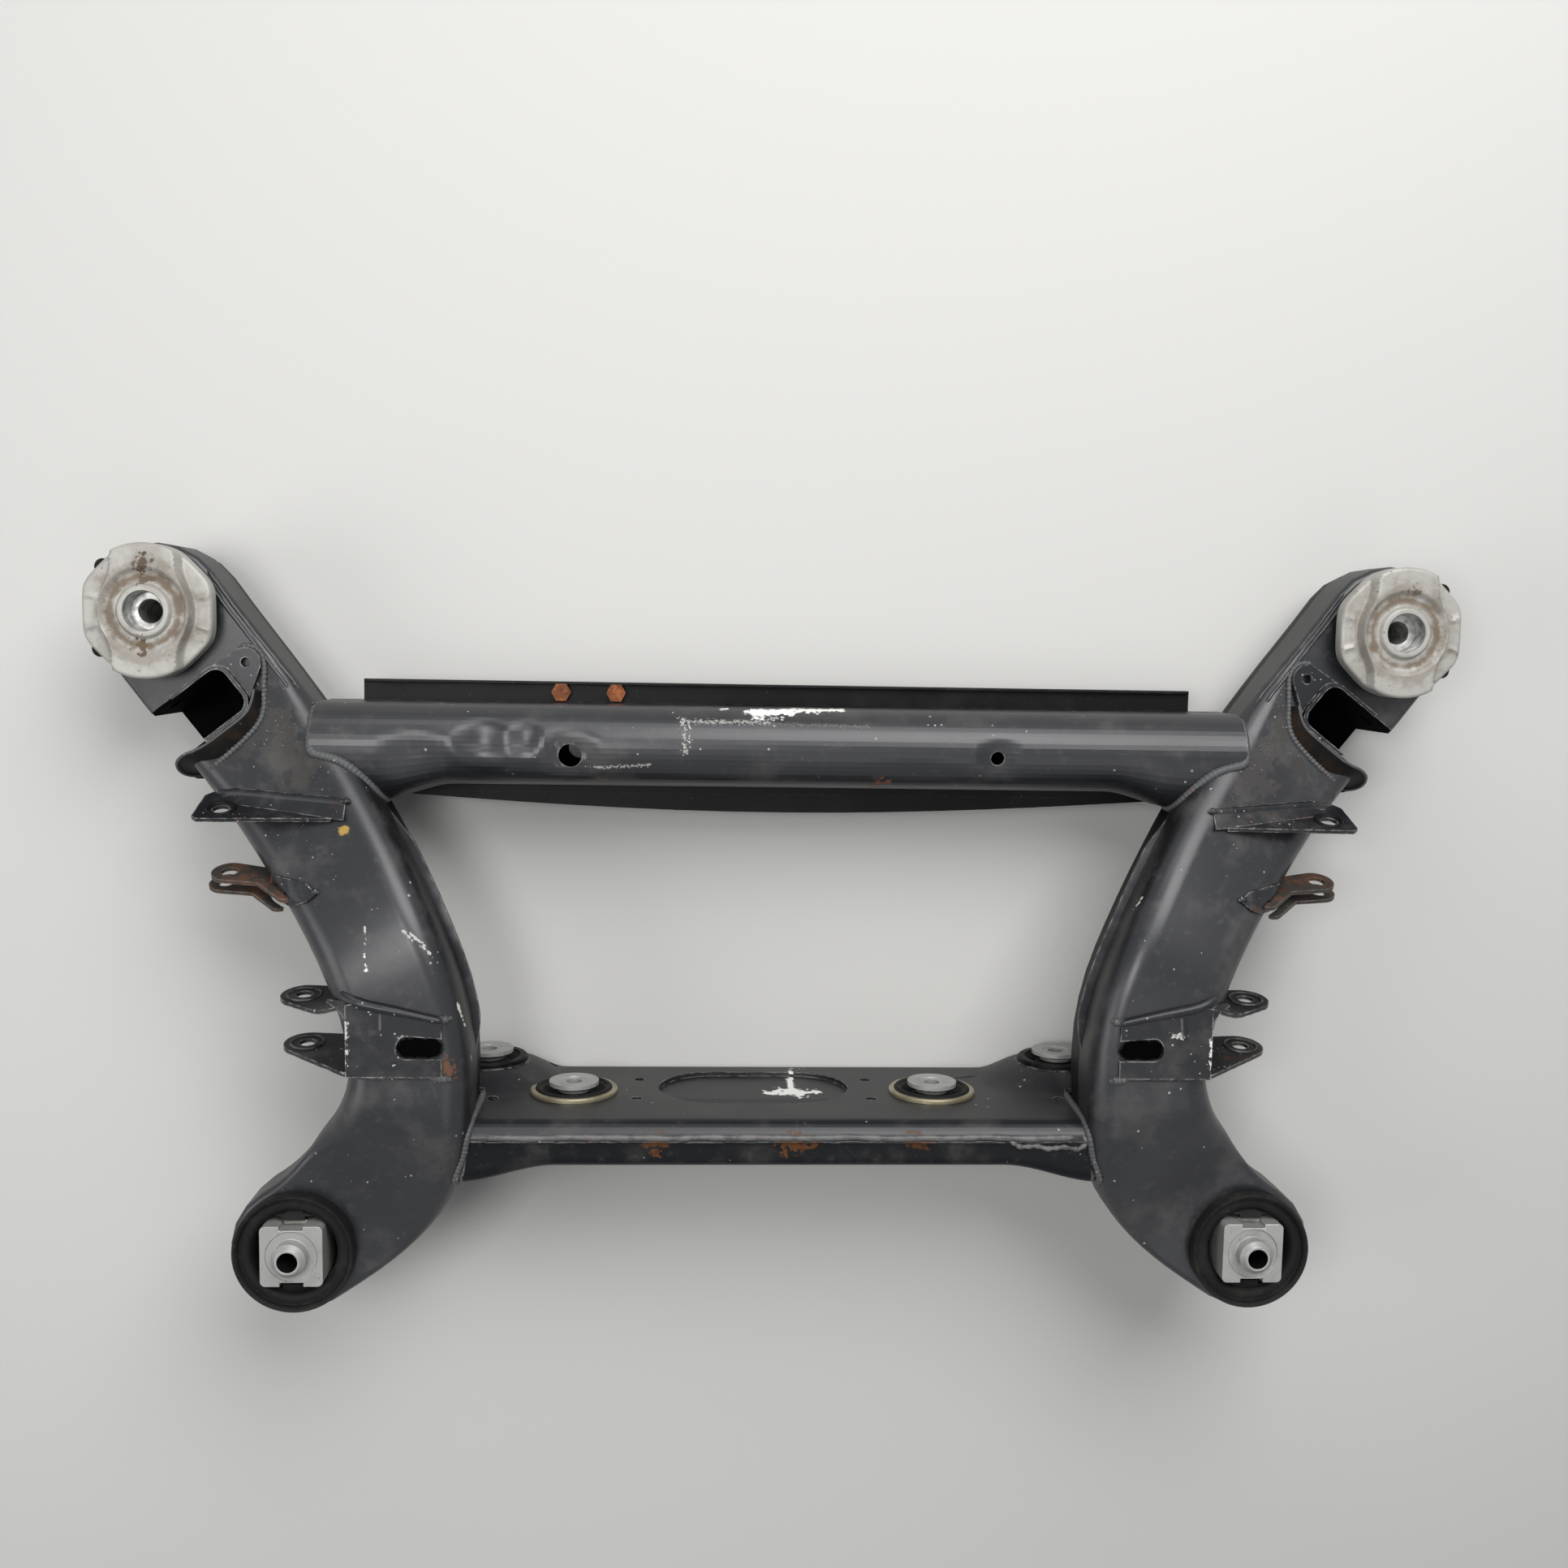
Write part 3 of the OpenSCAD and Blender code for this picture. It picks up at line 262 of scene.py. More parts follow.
def makeSpecks():  # grit and paint spots of mixed sizes
    tree, get, end, where = newGroup("specks", (
        ("Scale", number, 300.0), ("Share", number, 0.1), ("Size", number, 0.35)))
    cells = put(tree, "ShaderNodeTexVoronoi")
    join(tree, where, cells.inputs["Vector"])
    join(tree, get["Scale"], cells.inputs["Scale"])
    split = put(tree, "ShaderNodeSeparateColor")
    tree.links.new(cells.outputs["Color"], split.inputs[0])
    chosen = calc(tree, "LESS_THAN", split.outputs[0], get["Share"])
    mixed = calc(tree, "ADD", times(tree, split.outputs[1], 0.8), 0.2)  # a fifth of the size and up
    size = times(tree, mixed, get["Size"])
    dot = flip(tree, stretch(tree, cells.outputs["Distance"], times(tree, size, 0.6), size))
    tree.links.new(times(tree, dot, chosen), end)
    return tree


def makeEdge():  # worn along the outer edges
    tree, get, end, where = newGroup("edgeWear", (
        ("Radius", number, 0.002), ("Break", number, 0.5), ("Scale", number, 120.0)))
    soft = put(tree, "ShaderNodeBevel", samples=4)
    join(tree, get["Radius"], soft.inputs["Radius"])
    hard = put(tree, "ShaderNodeNewGeometry").outputs["Normal"]
    turn = flip(tree, vec(tree, "DOT_PRODUCT", soft.outputs["Normal"], hard, out="Value"))
    low = calc(tree, "SUBTRACT", get["Break"], 0.12)
    high = calc(tree, "ADD", get["Break"], 0.12)
    broken = stretch(tree, clouds(tree, where, get["Scale"], 5.0, 0.65), low, high)
    tree.links.new(times(tree, stretch(tree, turn, 0.01, 0.16), broken), end)
    return tree


def unevenRim(tree, where, get, detail):  # wobble of an outline, in step with its width
    rough = calc(tree, "SUBTRACT", clouds(tree, where, get["Scale"], detail, 0.6), 0.5)
    return times(tree, times(tree, rough, get["Ragged"]), times(tree, get["Width"], 4.0))


def makeStroke():  # a scratch, smear or splash from one point to another
    tree, get, end, where = newGroup("stroke", (
        ("Start", arrow, (0, 0, 0)), ("End", arrow, (0, 0, 0.001)), ("Width", number, 0.002),
        ("Ragged", number, 0.5), ("Scale", number, 300.0)))
    along = vec(tree, "SUBTRACT", get["End"], get["Start"])
    away = vec(tree, "SUBTRACT", where, get["Start"])
    length = calc(tree, "MAXIMUM", vec(tree, "DOT_PRODUCT", along, along, out="Value"), 1e-10)
    share = calc(tree, "DIVIDE", vec(tree, "DOT_PRODUCT", away, along, out="Value"), length, clamp=True)
    scale = put(tree, "ShaderNodeVectorMath", operation="SCALE")
    join(tree, along, scale.inputs[0])
    join(tree, share, scale.inputs["Scale"])
    gap = vec(tree, "LENGTH", vec(tree, "SUBTRACT", away, scale.outputs[0]), out="Value")
    reach = calc(tree, "ADD", gap, unevenRim(tree, where, get, 3.0))
    inner = times(tree, get["Width"], 0.35)
    outer = times(tree, get["Width"], 0.6)
    tree.links.new(flip(tree, stretch(tree, reach, inner, outer)), end)
    return tree


def makeRing():  # dirt lying in a ring round an axis
    tree, get, end, where = newGroup("ringDirt", (
        ("Centre", arrow, (0, 0, 0)), ("Axis", arrow, (0, 0, 1)), ("Radius", number, 0.02),
        ("Width", number, 0.005), ("Ragged", number, 0.4), ("Scale", number, 90.0)))
    away = vec(tree, "SUBTRACT", where, get["Centre"])
    radius = vec(tree, "LENGTH", vec(tree, "CROSS_PRODUCT", away, get["Axis"]), out="Value")
    off = calc(tree, "ABSOLUTE", calc(tree, "SUBTRACT", radius, get["Radius"]))
    reach = calc(tree, "ADD", off, unevenRim(tree, where, get, 4.0))
    tree.links.new(flip(tree, stretch(tree, reach, 0.0, get["Width"])), end)
    return tree


def makeWallShade():  # painted shade on walls that face sideways or down
    tree, get, end, _ = newGroup("paintedWallShade", (("Low", number, 0.15), ("High", number, 0.6)))
    split = put(tree, "ShaderNodeSeparateXYZ")
    tree.links.new(put(tree, "ShaderNodeNewGeometry").outputs["Normal"], split.inputs[0])
    tree.links.new(flip(tree, stretch(tree, split.outputs["Z"], get["Low"], get["High"])), end)
    return tree


groups = {
    "wallShade": makeWallShade(), "dirt": makeDirt(), "specks": makeSpecks(),
    "edge": makeEdge(), "stroke": makeStroke(), "ring": makeRing(),
}


def layered(name, base, rough, metal, layers, grain=(900.0, 0.06, 0.0004), shine=0.5):
    grainScale, grainStrength, grainDepth = grain  # fine bumps of the surface
    mat = bpy.data.materials.new(name)
    mat.use_nodes = True
    tree = mat.node_tree
    shader = tree.nodes["Principled BSDF"]
    colour, gloss, metalness = base, rough, metal
    for layer in layers:  # each layer lies over the ones before it
        node = put(tree, "ShaderNodeGroup", node_tree=groups[layer["effect"]])
        for key, value in layer["set"].items():
            node.inputs[key].default_value = value
        share = node.outputs["Mask"]
        if layer.get("amount", 1.0) < 1.0:
            share = times(tree, share, layer["amount"])
        colour = blend(tree, share, colour, layer["colour"])
        gloss = blend(tree, share, gloss, layer["rough"], "FLOAT")
        if "metal" in layer:
            metalness = blend(tree, share, metalness, layer["metal"], "FLOAT")
    join(tree, colour, shader.inputs["Base Color"])
    join(tree, gloss, shader.inputs["Roughness"])
    join(tree, metalness, shader.inputs["Metallic"])
    shader.inputs["Specular IOR Level"].default_value = shine
    where = put(tree, "ShaderNodeTexCoord").outputs["Object"]
    bump = put(tree, "ShaderNodeBump")
    bump.inputs["Strength"].default_value = grainStrength
    bump.inputs["Distance"].default_value = grainDepth
    tree.links.new(clouds(tree, where, grainScale, 5.0, 0.6), bump.inputs["Height"])
    tree.links.new(bump.outputs["Normal"], shader.inputs["Normal"])
    return mat


def dirtLayer(scale, low, high, colour, rough, amount, shift=(0.0, 0.0, 0.0)):
    return {"effect": "dirt", "set": {"Scale": scale, "Low": low, "High": high, "Shift": shift},
            "colour": colour, "rough": rough, "amount": amount}


def speckLayer(scale, share, size, colour, rough, amount):
    return {"effect": "specks", "set": {"Scale": scale, "Share": share, "Size": size},
            "colour": colour, "rough": rough, "amount": amount}


def edgeLayer(radius, breaking, scale, colour, rough, amount):
    return {"effect": "edge", "set": {"Radius": radius, "Break": breaking, "Scale": scale},
            "colour": colour, "rough": rough, "amount": amount}


def strokeLayer(look, start, end, width, ragged, colour, rough, amount=1.0, scale=300.0):
    return {"effect": "stroke", "set": {"Start": mm(*start), "End": mm(*end), "Width": width * 0.001,
                                        "Ragged": ragged, "Scale": scale},
            "colour": look[colour], "rough": rough, "amount": amount}


def strokes(look, marks):
    return [strokeLayer(look, *mark) for mark in marks]


def ringLayer(centre, axis, radius, width, colour, rough, amount, ragged):
    return {"effect": "ring", "set": {"Centre": mm(*centre), "Axis": axis, "Radius": radius * 0.001,
                                      "Width": width * 0.001, "Ragged": ragged},
            "colour": colour, "rough": rough, "amount": amount}


paintLook = {
    "base": tint(28, 29, 33),
    "deep": tint(22, 23, 25),
    "black": tint(8, 8, 9),
    "dust": tint(88, 87, 85),
    "pale": tint(196, 195, 190),
    "white": tint(232, 232, 228),
    "soil": tint(84, 74, 62),
    "footShade": tint(30, 25, 20),
    "rust": tint(106, 66, 38),
    "yellow": tint(170, 138, 62),
    "rough": 0.32,
    "shine": 0.56,
    "boxShine": 0.4,
    "coverShadeShine": 0.1,
    "bracketShine": 0.35,
}


def paintLayers(dust=0.35, grit=0.55, wear=0.5, walls=0.7):  # what all the painted pressings share, with painted shade on their steep walls
    look = paintLook
    return [
        # painted shade: faces that turn sideways or down go black
        {"effect": "wallShade", "set": {"Low": 0.1, "High": 0.55},
         "colour": look["black"], "rough": 0.45, "amount": walls},
        dirtLayer(9.0, 0.42, 0.68, look["deep"], 0.40, 0.35, (3.1, 0.2, 0.7)),
        dirtLayer(26.0, 0.48, 0.74, look["dust"], 0.62, dust),
        dirtLayer(95.0, 0.56, 0.72, look["dust"], 0.66, dust * 0.55, (0.4, 1.7, 0.3)),
        speckLayer(240.0, 0.035, 0.30, look["pale"], 0.7, grit),
        speckLayer(620.0, 0.05, 0.34, look["dust"], 0.7, grit),
        edgeLayer(0.0016, 0.52, 140.0, look["pale"], 0.5, wear),
    ]


memberMarks = (  # start, end, width, raggedness, colour, roughness, amount, grain
    ((-316, 76.6, 139), (-316, 76.6, 139), 8.0, 0.22, "yellow", 0.55, 0.9, 180.0),
    ((-296, 12, 164), (-295, -3, 167), 1.1, 1.0, "pale", 0.6, 0.8, 420.0),
    ((-295.5, -6, 168), (-294, -19, 170), 1.5, 1.0, "white", 0.6, 0.9, 420.0),
    ((-269, 10, 168), (-262, 3, 168.5), 1.4, 0.9, "pale", 0.6, 0.8, 420.0),
    ((-264, 8, 168), (-252, -2, 168.5), 1.2, 1.1, "pale", 0.6, 0.8, 420.0),
    ((-257, 0, 168), (-248, -8, 168), 1.5, 0.9, "pale", 0.6, 0.8, 420.0),
    ((-278, 28, 164), (-258, 24, 166), 1.2, 1.7, "dust", 0.6, 0.8, 520.0),
    ((-240, -84, 171.5), (-236, -90, 171), 8.0, 0.9, "rust", 0.8, 0.7, 260.0),
    ((-232, -44, 162), (-228, -60, 159), 1.8, 0.9, "pale", 0.6),
    ((-228.5, -62, 159), (-224, -86, 154), 1.3, 0.6, "pale", 0.6),
    ((259, 34, 148), (257, 26, 147), 2.4, 0.9, "pale", 0.6),
    ((262, 24, 150), (256, 20, 146), 1.6, 0.8, "pale", 0.6),
    ((236, -34, 118), (232, -44, 108), 2.2, 0.9, "pale", 0.6),
    ((262, 29, 153), (267, 22, 157), 1.6, 0.9, "pale", 0.6, 0.9, 420.0),
    ((246, -20, 158), (243, -33, 157), 1.5, 0.8, "pale", 0.6, 0.9, 420.0),
    ((-372, 150, 99), (-352, 118, 118), 26.0, 0.9, "soil", 0.75, 0.16, 70.0),
    ((372, 150, 99), (352, 118, 118), 26.0, 0.9, "soil", 0.75, 0.16, 70.0),
)
footShadeMarks = (                    # painted shade along the foot of the channel bracket, tinted like soil, the same on both sides
    ((376, 152, 99), (394, 128, 97)),
    ((394, 128, 97), (416, 108, 88)),
)
# painted shadow under the slot of the fork bracket
forkSlotShadow = ((266, -73, 172), (249, -73, 172))


def memberPaint():
    look = paintLook
    marks = strokes(look, memberMarks)
    for s in (-1, 1):  # painted shade along the foot of the channel bracket, painted shadow under the slot of the fork bracket
        for spots in footShadeMarks:
            start, end = (mirrored(s, spot) for spot in spots)
            marks.append(strokeLayer(look, start, end, 15.0, 0.9, "footShade", 0.7, 0.55, 90.0))
        start, end = (mirrored(s, spot) for spot in forkSlotShadow)
        # black and fully metal, so it reflects nothing: painted shadow in the slot
        marks.append(dict(strokeLayer(look, start, end, 17.0, 0.1, "black", 0.7), metal=1.0))
    # the members' walls get strong painted shade
    layers = paintLayers(walls=0.9) + marks
    return layered("memberPaint", look["base"], look["rough"], 0.0, layers, shine=look["shine"])


tubeMarks = (  # start, end, width, raggedness, colour, roughness, amount, grain
    ((-22, 163, 99), (2, 163.5, 97), 13.0, 0.45, "white", 0.6, 1.0, 200.0),
    ((8, 165, 94), (40, 165.5, 92), 9.0, 0.7, "white", 0.6, 1.0, 200.0),
    ((-46, 165, 94), (-44, 165, 94), 5.0, 0.7, "white", 0.6),
    ((-76, 158, 107), (-73, 134, 116), 3.0, 1.3, "pale", 0.6, 0.6, 520.0),
    ((-72, 157, 108), (-70, 142, 115), 1.6, 1.2, "pale", 0.6, 0.7, 520.0),
    ((-70, 156, 108), (-12, 156, 108), 2.2, 1.7, "pale", 0.6, 0.5, 620.0),
    ((-10, 155, 109), (62, 154, 110), 1.8, 1.8, "dust", 0.6, 0.8, 620.0),
    ((-150, 121, 112), (-100, 124, 113), 1.3, 1.8, "pale", 0.6, 0.6, 620.0),
    ((106, 156, 108), (107, 149, 111), 1.0, 0.5, "pale", 0.6),
    ((111, 156, 108), (112, 149, 111), 1.0, 0.5, "pale", 0.6),
    ((116, 156, 108), (116, 149, 111), 1.0, 0.5, "pale", 0.6),
    ((72, 112, 103.5), (74, 112, 103.5), 9.0, 0.9, "rust", 0.8, 0.9, 260.0),
    ((-136, 112, 103), (-134, 112, 103), 5.0, 0.7, "soil", 0.8, 0.9),
    ((-158, 130, 114), (-158, 128, 114), 17.0, 0.5, "pale", 0.6, 0.18, 120.0),
)


def tubePaint():
    look = paintLook
    layers = paintLayers(0.3, 0.5, 0.5) + strokes(look, tubeMarks)
    return layered("tubePaint", look["base"], look["rough"], 0.0, layers, shine=look["shine"])


boxMarks = (  # start, end, width, raggedness, colour, roughness, amount, grain
    ((14, -130, -4), (13.5, -130, 20), 5.0, 0.35, "white", 0.6),
    ((13.5, -131, 20), (12.5, -136.5, 30), 5.0, 0.35, "white", 0.6),
    ((12.5, -136.5, 30), (12, -136.5, 60), 5.0, 0.35, "white", 0.6),
    ((8, -136.5, 62), (17, -136.5, 66), 18.0, 0.45, "white", 0.6, 1.0, 200.0),
    ((-6, -136.5, 68), (31, -136.5, 64), 9.0, 0.6, "white", 0.6, 1.0, 200.0),
    # painted shade in the lower part of the pressed pocket
    ((-72, -136.5, 90), (42, -136.5, 90), 15.0, 0.25, "deep", 0.5, 0.8),
    ((-96, -147, 154), (-88, -148, 154), 11.0, 1.0, "rust", 0.8, 0.6, 160.0),
    ((4, -149, 153), (16, -149, 153), 12.0, 1.0, "rust", 0.8, 0.65, 160.0),
    ((96, -147, 154), (104, -148, 154), 9.0, 1.0, "rust", 0.8, 0.5, 160.0),
    ((6, -128, 143), (22, -129, 143), 2.2, 0.9, "pale", 0.6),
    ((-60, -126, 141), (40, -126, 141), 1.2, 1.4, "pale", 0.6, 0.6, 300.0),
)


def boxPaint(name, base, shine):
    look = paintLook
    layers = paintLayers(0.32, 0.6, 0.5) + strokes(look, boxMarks)
    return layered(name, base, look["rough"], 0.0, layers, shine=shine)


bracketMarks = (  # start, end, width, raggedness, colour, roughness, amount, grain
    ((-308, -56, 174), (-309, -90, 172), 3.0, 1.5, "pale", 0.6, 0.9, 420.0),
    ((-268, -66, 175), (-264, -70, 175), 4.0, 1.4, "pale", 0.6, 0.5, 420.0),
    ((279, -60, 175), (285, -62, 175), 3.0, 1.2, "pale", 0.6, 0.9, 420.0),
    ((308, -64, 174), (308.5, -77, 174), 2.6, 1.2, "white", 0.6, 0.9, 420.0),
    ((308.5, -82, 174), (309, -92, 172), 2.6, 1.2, "white", 0.6, 0.9, 420.0),
    # a painted crease: black line as painted shade beside a dust line as painted highlight
    ((288, -48, 175), (289, -59, 175), 2.6, 0.3, "black", 0.5, 0.7),
    ((285, -49, 175), (286, -60, 175), 1.6, 0.3, "dust", 0.5, 0.8),
    ((-287, -47, 175), (-287, -58, 175), 2.6, 0.3, "black", 0.5, 0.7),
    ((-284, -48, 175), (-284, -59, 175), 1.6, 0.3, "dust", 0.5, 0.8),
    ((-366, 38, 120), (-380, 36, 112), 14.0, 0.9, "rust", 0.8, 0.8, 160.0),
    ((366, 38, 120), (380, 36, 112), 14.0, 0.9, "rust", 0.8, 0.8, 160.0),
)


def bracketPaint():
    look = paintLook
    layers = paintLayers(0.4, 0.7, 0.8) + [
        dirtLayer(46.0, 0.60, 0.74, look["rust"], 0.8, 0.35, (1.1, 0.4, 2.2)),
        speckLayer(420.0, 0.06, 0.4, look["pale"], 0.65, 0.7),
    ]
    layers += strokes(look, bracketMarks)
    return layered("bracketPaint", look["base"], look["rough"], 0.0, layers, shine=look["bracketShine"])


# near-black paint for the black sleeves and rings, also painted shade on the lower shells, the tube's flange
# and tray, the flange lip and the narrow core bores
def darkPaintAndShade():
    look = paintLook
    layers = [
        dirtLayer(18.0, 0.46, 0.74, tint(36, 35, 34), 0.6, 0.6),
        speckLayer(420.0, 0.04, 0.34, look["dust"], 0.7, 0.5),
        edgeLayer(0.0014, 0.55, 140.0, look["dust"], 0.5, 0.5),
    ]
    return layered("darkPaintAndShade", tint(15, 15, 16), 0.42, 0.0, layers, shine=0.12)


def paintedShadePaint():  # painted shade, black, on insides that no light reaches
    layers = [dirtLayer(30.0, 0.5, 0.8, paintLook["deep"], 0.8, 0.4)]
    return layered("paintedShadePaint", paintLook["black"], 0.8, 0.0, layers, shine=0.02)


def wingShadeAndSoil():  # wall beside the channel brackets: near-black base as painted shade, with patches of soil
    look = paintLook
    layers = [
        dirtLayer(26.0, 0.48, 0.70, tint(58, 42, 30), 0.8, 0.6),
        speckLayer(380.0, 0.06, 0.4, look["soil"], 0.8, 0.6),
        edgeLayer(0.0014, 0.5, 140.0, look["dust"], 0.5, 0.5),
    ]
    return layered("wingShadeAndSoil", tint(13, 13, 13), 0.5, 0.0, layers, shine=0.1)


castLook = {
    "base": tint(168, 166, 160),
    "shade": tint(134, 130, 122),
    "dirt": tint(104, 88, 70),
    "bright": tint(218, 217, 213),
    "stain": tint(70, 54, 38),
    "paleStain": tint(84, 66, 48),
    "rough": 0.46,
    "axes": ((-460, 230, 100), (460, 230, 100)),
}


plateStains = (  # start, end, width, raggedness, colour, roughness, amount, grain
    ((-461, 261, 119), (-459, 265, 119), 8.0, 0.9, "stain", 0.85, 0.9, 260.0),
    ((-464, 251, 117), (-455, 252, 117), 4.0, 0.9, "stain", 0.85, 0.8, 260.0),
    ((-463, 206, 117), (-460, 203, 119), 8.0, 0.8, "stain", 0.85, 0.9, 260.0),
    ((462, 263, 119), (466, 262, 119), 5.0, 0.9, "paleStain", 0.85, 0.7, 260.0),
)


def castAluminium():  # stop plates, dirty between the pads and the hub
    look = castLook
    layers = [
        dirtLayer(34.0, 0.42, 0.68, look["shade"], 0.6, 0.6),
        dirtLayer(150.0, 0.52, 0.70, look["shade"], 0.62, 0.35, (2.0, 0.1, 0.4)),
        speckLayer(330.0, 0.10, 0.4, tint(96, 84, 70), 0.75, 0.55),
        edgeLayer(0.0018, 0.50, 130.0, look["bright"], 0.35, 0.55),
    ]
    layers += strokes(look, plateStains)
    for middle in look["axes"]:
        layers.append(ringLayer(middle, (0, 0, 1), 24.5, 5.0, look["dirt"], 0.8, 0.85, 0.6))
        layers.append(ringLayer(middle, (0, 0, 1), 33.0, 8.0, look["dirt"], 0.8, 0.40, 0.9))
    return layered("castAluminium", look["base"], look["rough"], 0.15, layers, (520.0, 0.14, 0.0006))


def coreAluminium():  # narrow end cores and the small bush cores
    look = castLook
    layers = [
        dirtLayer(60.0, 0.46, 0.72, look["shade"], 0.58, 0.5),
        speckLayer(420.0, 0.10, 0.4, tint(92, 84, 74), 0.75, 0.6),
        edgeLayer(0.0012, 0.50, 150.0, look["bright"], 0.32, 0.6),
    ]
    return layered("coreAluminium", tint(158, 158, 156), 0.40, 0.30, layers, (640.0, 0.12, 0.0005))


def boreMetal():  # scraped inside of the bolt holes
    layers = [
        dirtLayer(120.0, 0.42, 0.66, tint(92, 90, 86), 0.5, 0.7),
        speckLayer(520.0, 0.12, 0.4, tint(60, 58, 55), 0.7, 0.6),
    ]
    return layered("boreMetal", tint(192, 192, 190), 0.30, 0.6, layers, (480.0, 0.2, 0.0005))


def rubberSkin():
    layers = [
        dirtLayer(40.0, 0.48, 0.76, tint(52, 50, 47), 0.85, 0.6),
        speckLayer(520.0, 0.07, 0.36, tint(98, 92, 84), 0.85, 0.5),
        edgeLayer(0.0014, 0.5, 160.0, tint(64, 62, 59), 0.7, 0.45),
    ]
    return layered("rubberSkin", tint(22, 22, 23), 0.62, 0.0, layers, (420.0, 0.16, 0.0005), 0.15)


def zincPlate():  # yellowed zinc on the small bush rings
    layers = [
        dirtLayer(70.0, 0.46, 0.7, tint(112, 98, 70), 0.55, 0.55),
        dirtLayer(210.0, 0.60, 0.72, tint(96, 62, 36), 0.75, 0.5, (0.7, 2.0, 1.1)),
        edgeLayer(0.0010, 0.46, 160.0, tint(206, 200, 182), 0.3, 0.6),
    ]
    return layered("zincPlate", tint(158, 150, 124), 0.38, 0.7, layers, (700.0, 0.08, 0.0004))


def rustSkin():
    layers = [
        dirtLayer(60.0, 0.40, 0.66, tint(66, 40, 26), 0.85, 0.8),
        dirtLayer(180.0, 0.50, 0.66, tint(176, 106, 56), 0.9, 0.6, (1.4, 0.6, 0.1)),
        speckLayer(520.0, 0.14, 0.42, tint(46, 32, 24), 0.9, 0.6),
    ]
    return layered("rustSkin", tint(134, 76, 42), 0.78, 0.15, layers, (380.0, 0.5, 0.0008))


def earPaint():  # paint that rust has mostly taken
    layers = [
        dirtLayer(48.0, 0.46, 0.62, tint(92, 60, 40), 0.82, 0.75, (0.3, 0.9, 0.2)),
        dirtLayer(130.0, 0.50, 0.64, tint(44, 34, 28), 0.85, 0.75),
        speckLayer(480.0, 0.08, 0.4, tint(150, 120, 90), 0.8, 0.5),
        edgeLayer(0.0014, 0.46, 150.0, tint(168, 160, 148), 0.5, 0.6),
    ]
    return layered("earPaint", tint(50, 46, 43), 0.6, 0.05, layers, (360.0, 0.35, 0.0007))


def weldPaintAndHighlight():  # bead under the paint, pale where the paint is thin; the pale base is also a painted highlight on the raised bead
    look = paintLook
    layers = [
        dirtLayer(120.0, 0.46, 0.66, look["dust"], 0.6, 0.6),
        dirtLayer(60.0, 0.58, 0.70, look["rust"], 0.8, 0.35, (0.2, 1.4, 0.9)),
        speckLayer(520.0, 0.10, 0.4, look["pale"], 0.6, 0.7),
    ]
    return layered("weldPaintAndHighlight", tint(80, 81, 82), 0.40, 0.0, layers, (500.0, 0.25, 0.0006), 0.3)


def sealantSkin():
    look = paintLook
    layers = [
        dirtLayer(70.0, 0.44, 0.66, look["base"], 0.5, 0.75),
        speckLayer(420.0, 0.08, 0.4, look["soil"], 0.8, 0.6),
        dirtLayer(40.0, 0.60, 0.72, look["rust"], 0.8, 0.5, (0.9, 0.2, 0.4)),
    ]
    return layered("sealantSkin", tint(98, 98, 97), 0.5, 0.0, layers, (260.0, 0.25, 0.0008))


def spatterSkin():
    layers = [dirtLayer(160.0, 0.42, 0.6, tint(70, 66, 60), 0.6, 0.8)]
    return layered("spatterSkin", tint(118, 116, 112), 0.5, 0.1, layers, (600.0, 0.2, 0.0004))


finish = {
    "weld": weldPaintAndHighlight(), "sealant": sealantSkin(), "spatter": spatterSkin(),
    "member": memberPaint(), "tube": tubePaint(), "bracket": bracketPaint(),
    "dark": darkPaintAndShade(), "hollow": paintedShadePaint(), "wing": wingShadeAndSoil(),
    "box": boxPaint("boxPaint", paintLook["base"], paintLook["boxShine"]),
    # the cover: the box paint with a darker base and less shine, as painted shade
    "cover": boxPaint("coverPaintShaded", paintLook["deep"], paintLook["coverShadeShine"]),
    "cast": castAluminium(), "core": coreAluminium(), "bore": boreMetal(),
    "rubber": rubberSkin(), "zinc": zincPlate(), "rust": rustSkin(), "ear": earPaint(),
}
print("finishes ready:", len(finish))


# copies of the solids, smoothed and rounded

def copyOf(*names):
    bm = bmesh.new()
    for name in names:
        bm.from_mesh(nodes[name].data)
    for face in bm.faces:
        face.material_index = 0
    bmesh.ops.remove_doubles(bm, verts=bm.verts, dist=4e-6)
    return bm


def place(bm, name, looks, slot, stands=(), sharp=32.0, rounding=0.0):
    for face in bm.faces:
        face.smooth = True
    for edge in bm.edges:
        if len(edge.link_faces) == 2 and edge.calc_face_angle(0.0) > math.radians(sharp):
            edge.smooth = False
    mesh = bpy.data.meshes.new(name)
    bm.to_mesh(mesh)
    bm.free()
    for look in looks.split():
        mesh.materials.append(finish[look])
    obj = bpy.data.objects.new(name, mesh)
    scene.collection.objects.link(obj)
    if rounding:
        mod = obj.modifiers.new("roundedEdges", "BEVEL")
        mod.width = rounding * 0.001
        mod.segments = 2
        mod.profile = 0.5
        mod.limit_method = "ANGLE"
        mod.angle_limit = math.radians(sharp)
        mod.use_clamp_overlap = True
        mod.harden_normals = True
    mod = obj.modifiers.new("evenShading", "WEIGHTED_NORMAL")
    mod.keep_sharp = True
    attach(obj, "root")
    if stands:
        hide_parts(*stands)


def flatten(bm):  # loose triangles back to plain faces
    bmesh.ops.dissolve_limit(bm, angle_limit=math.radians(1.0), verts=bm.verts, edges=bm.edges)
    return bm


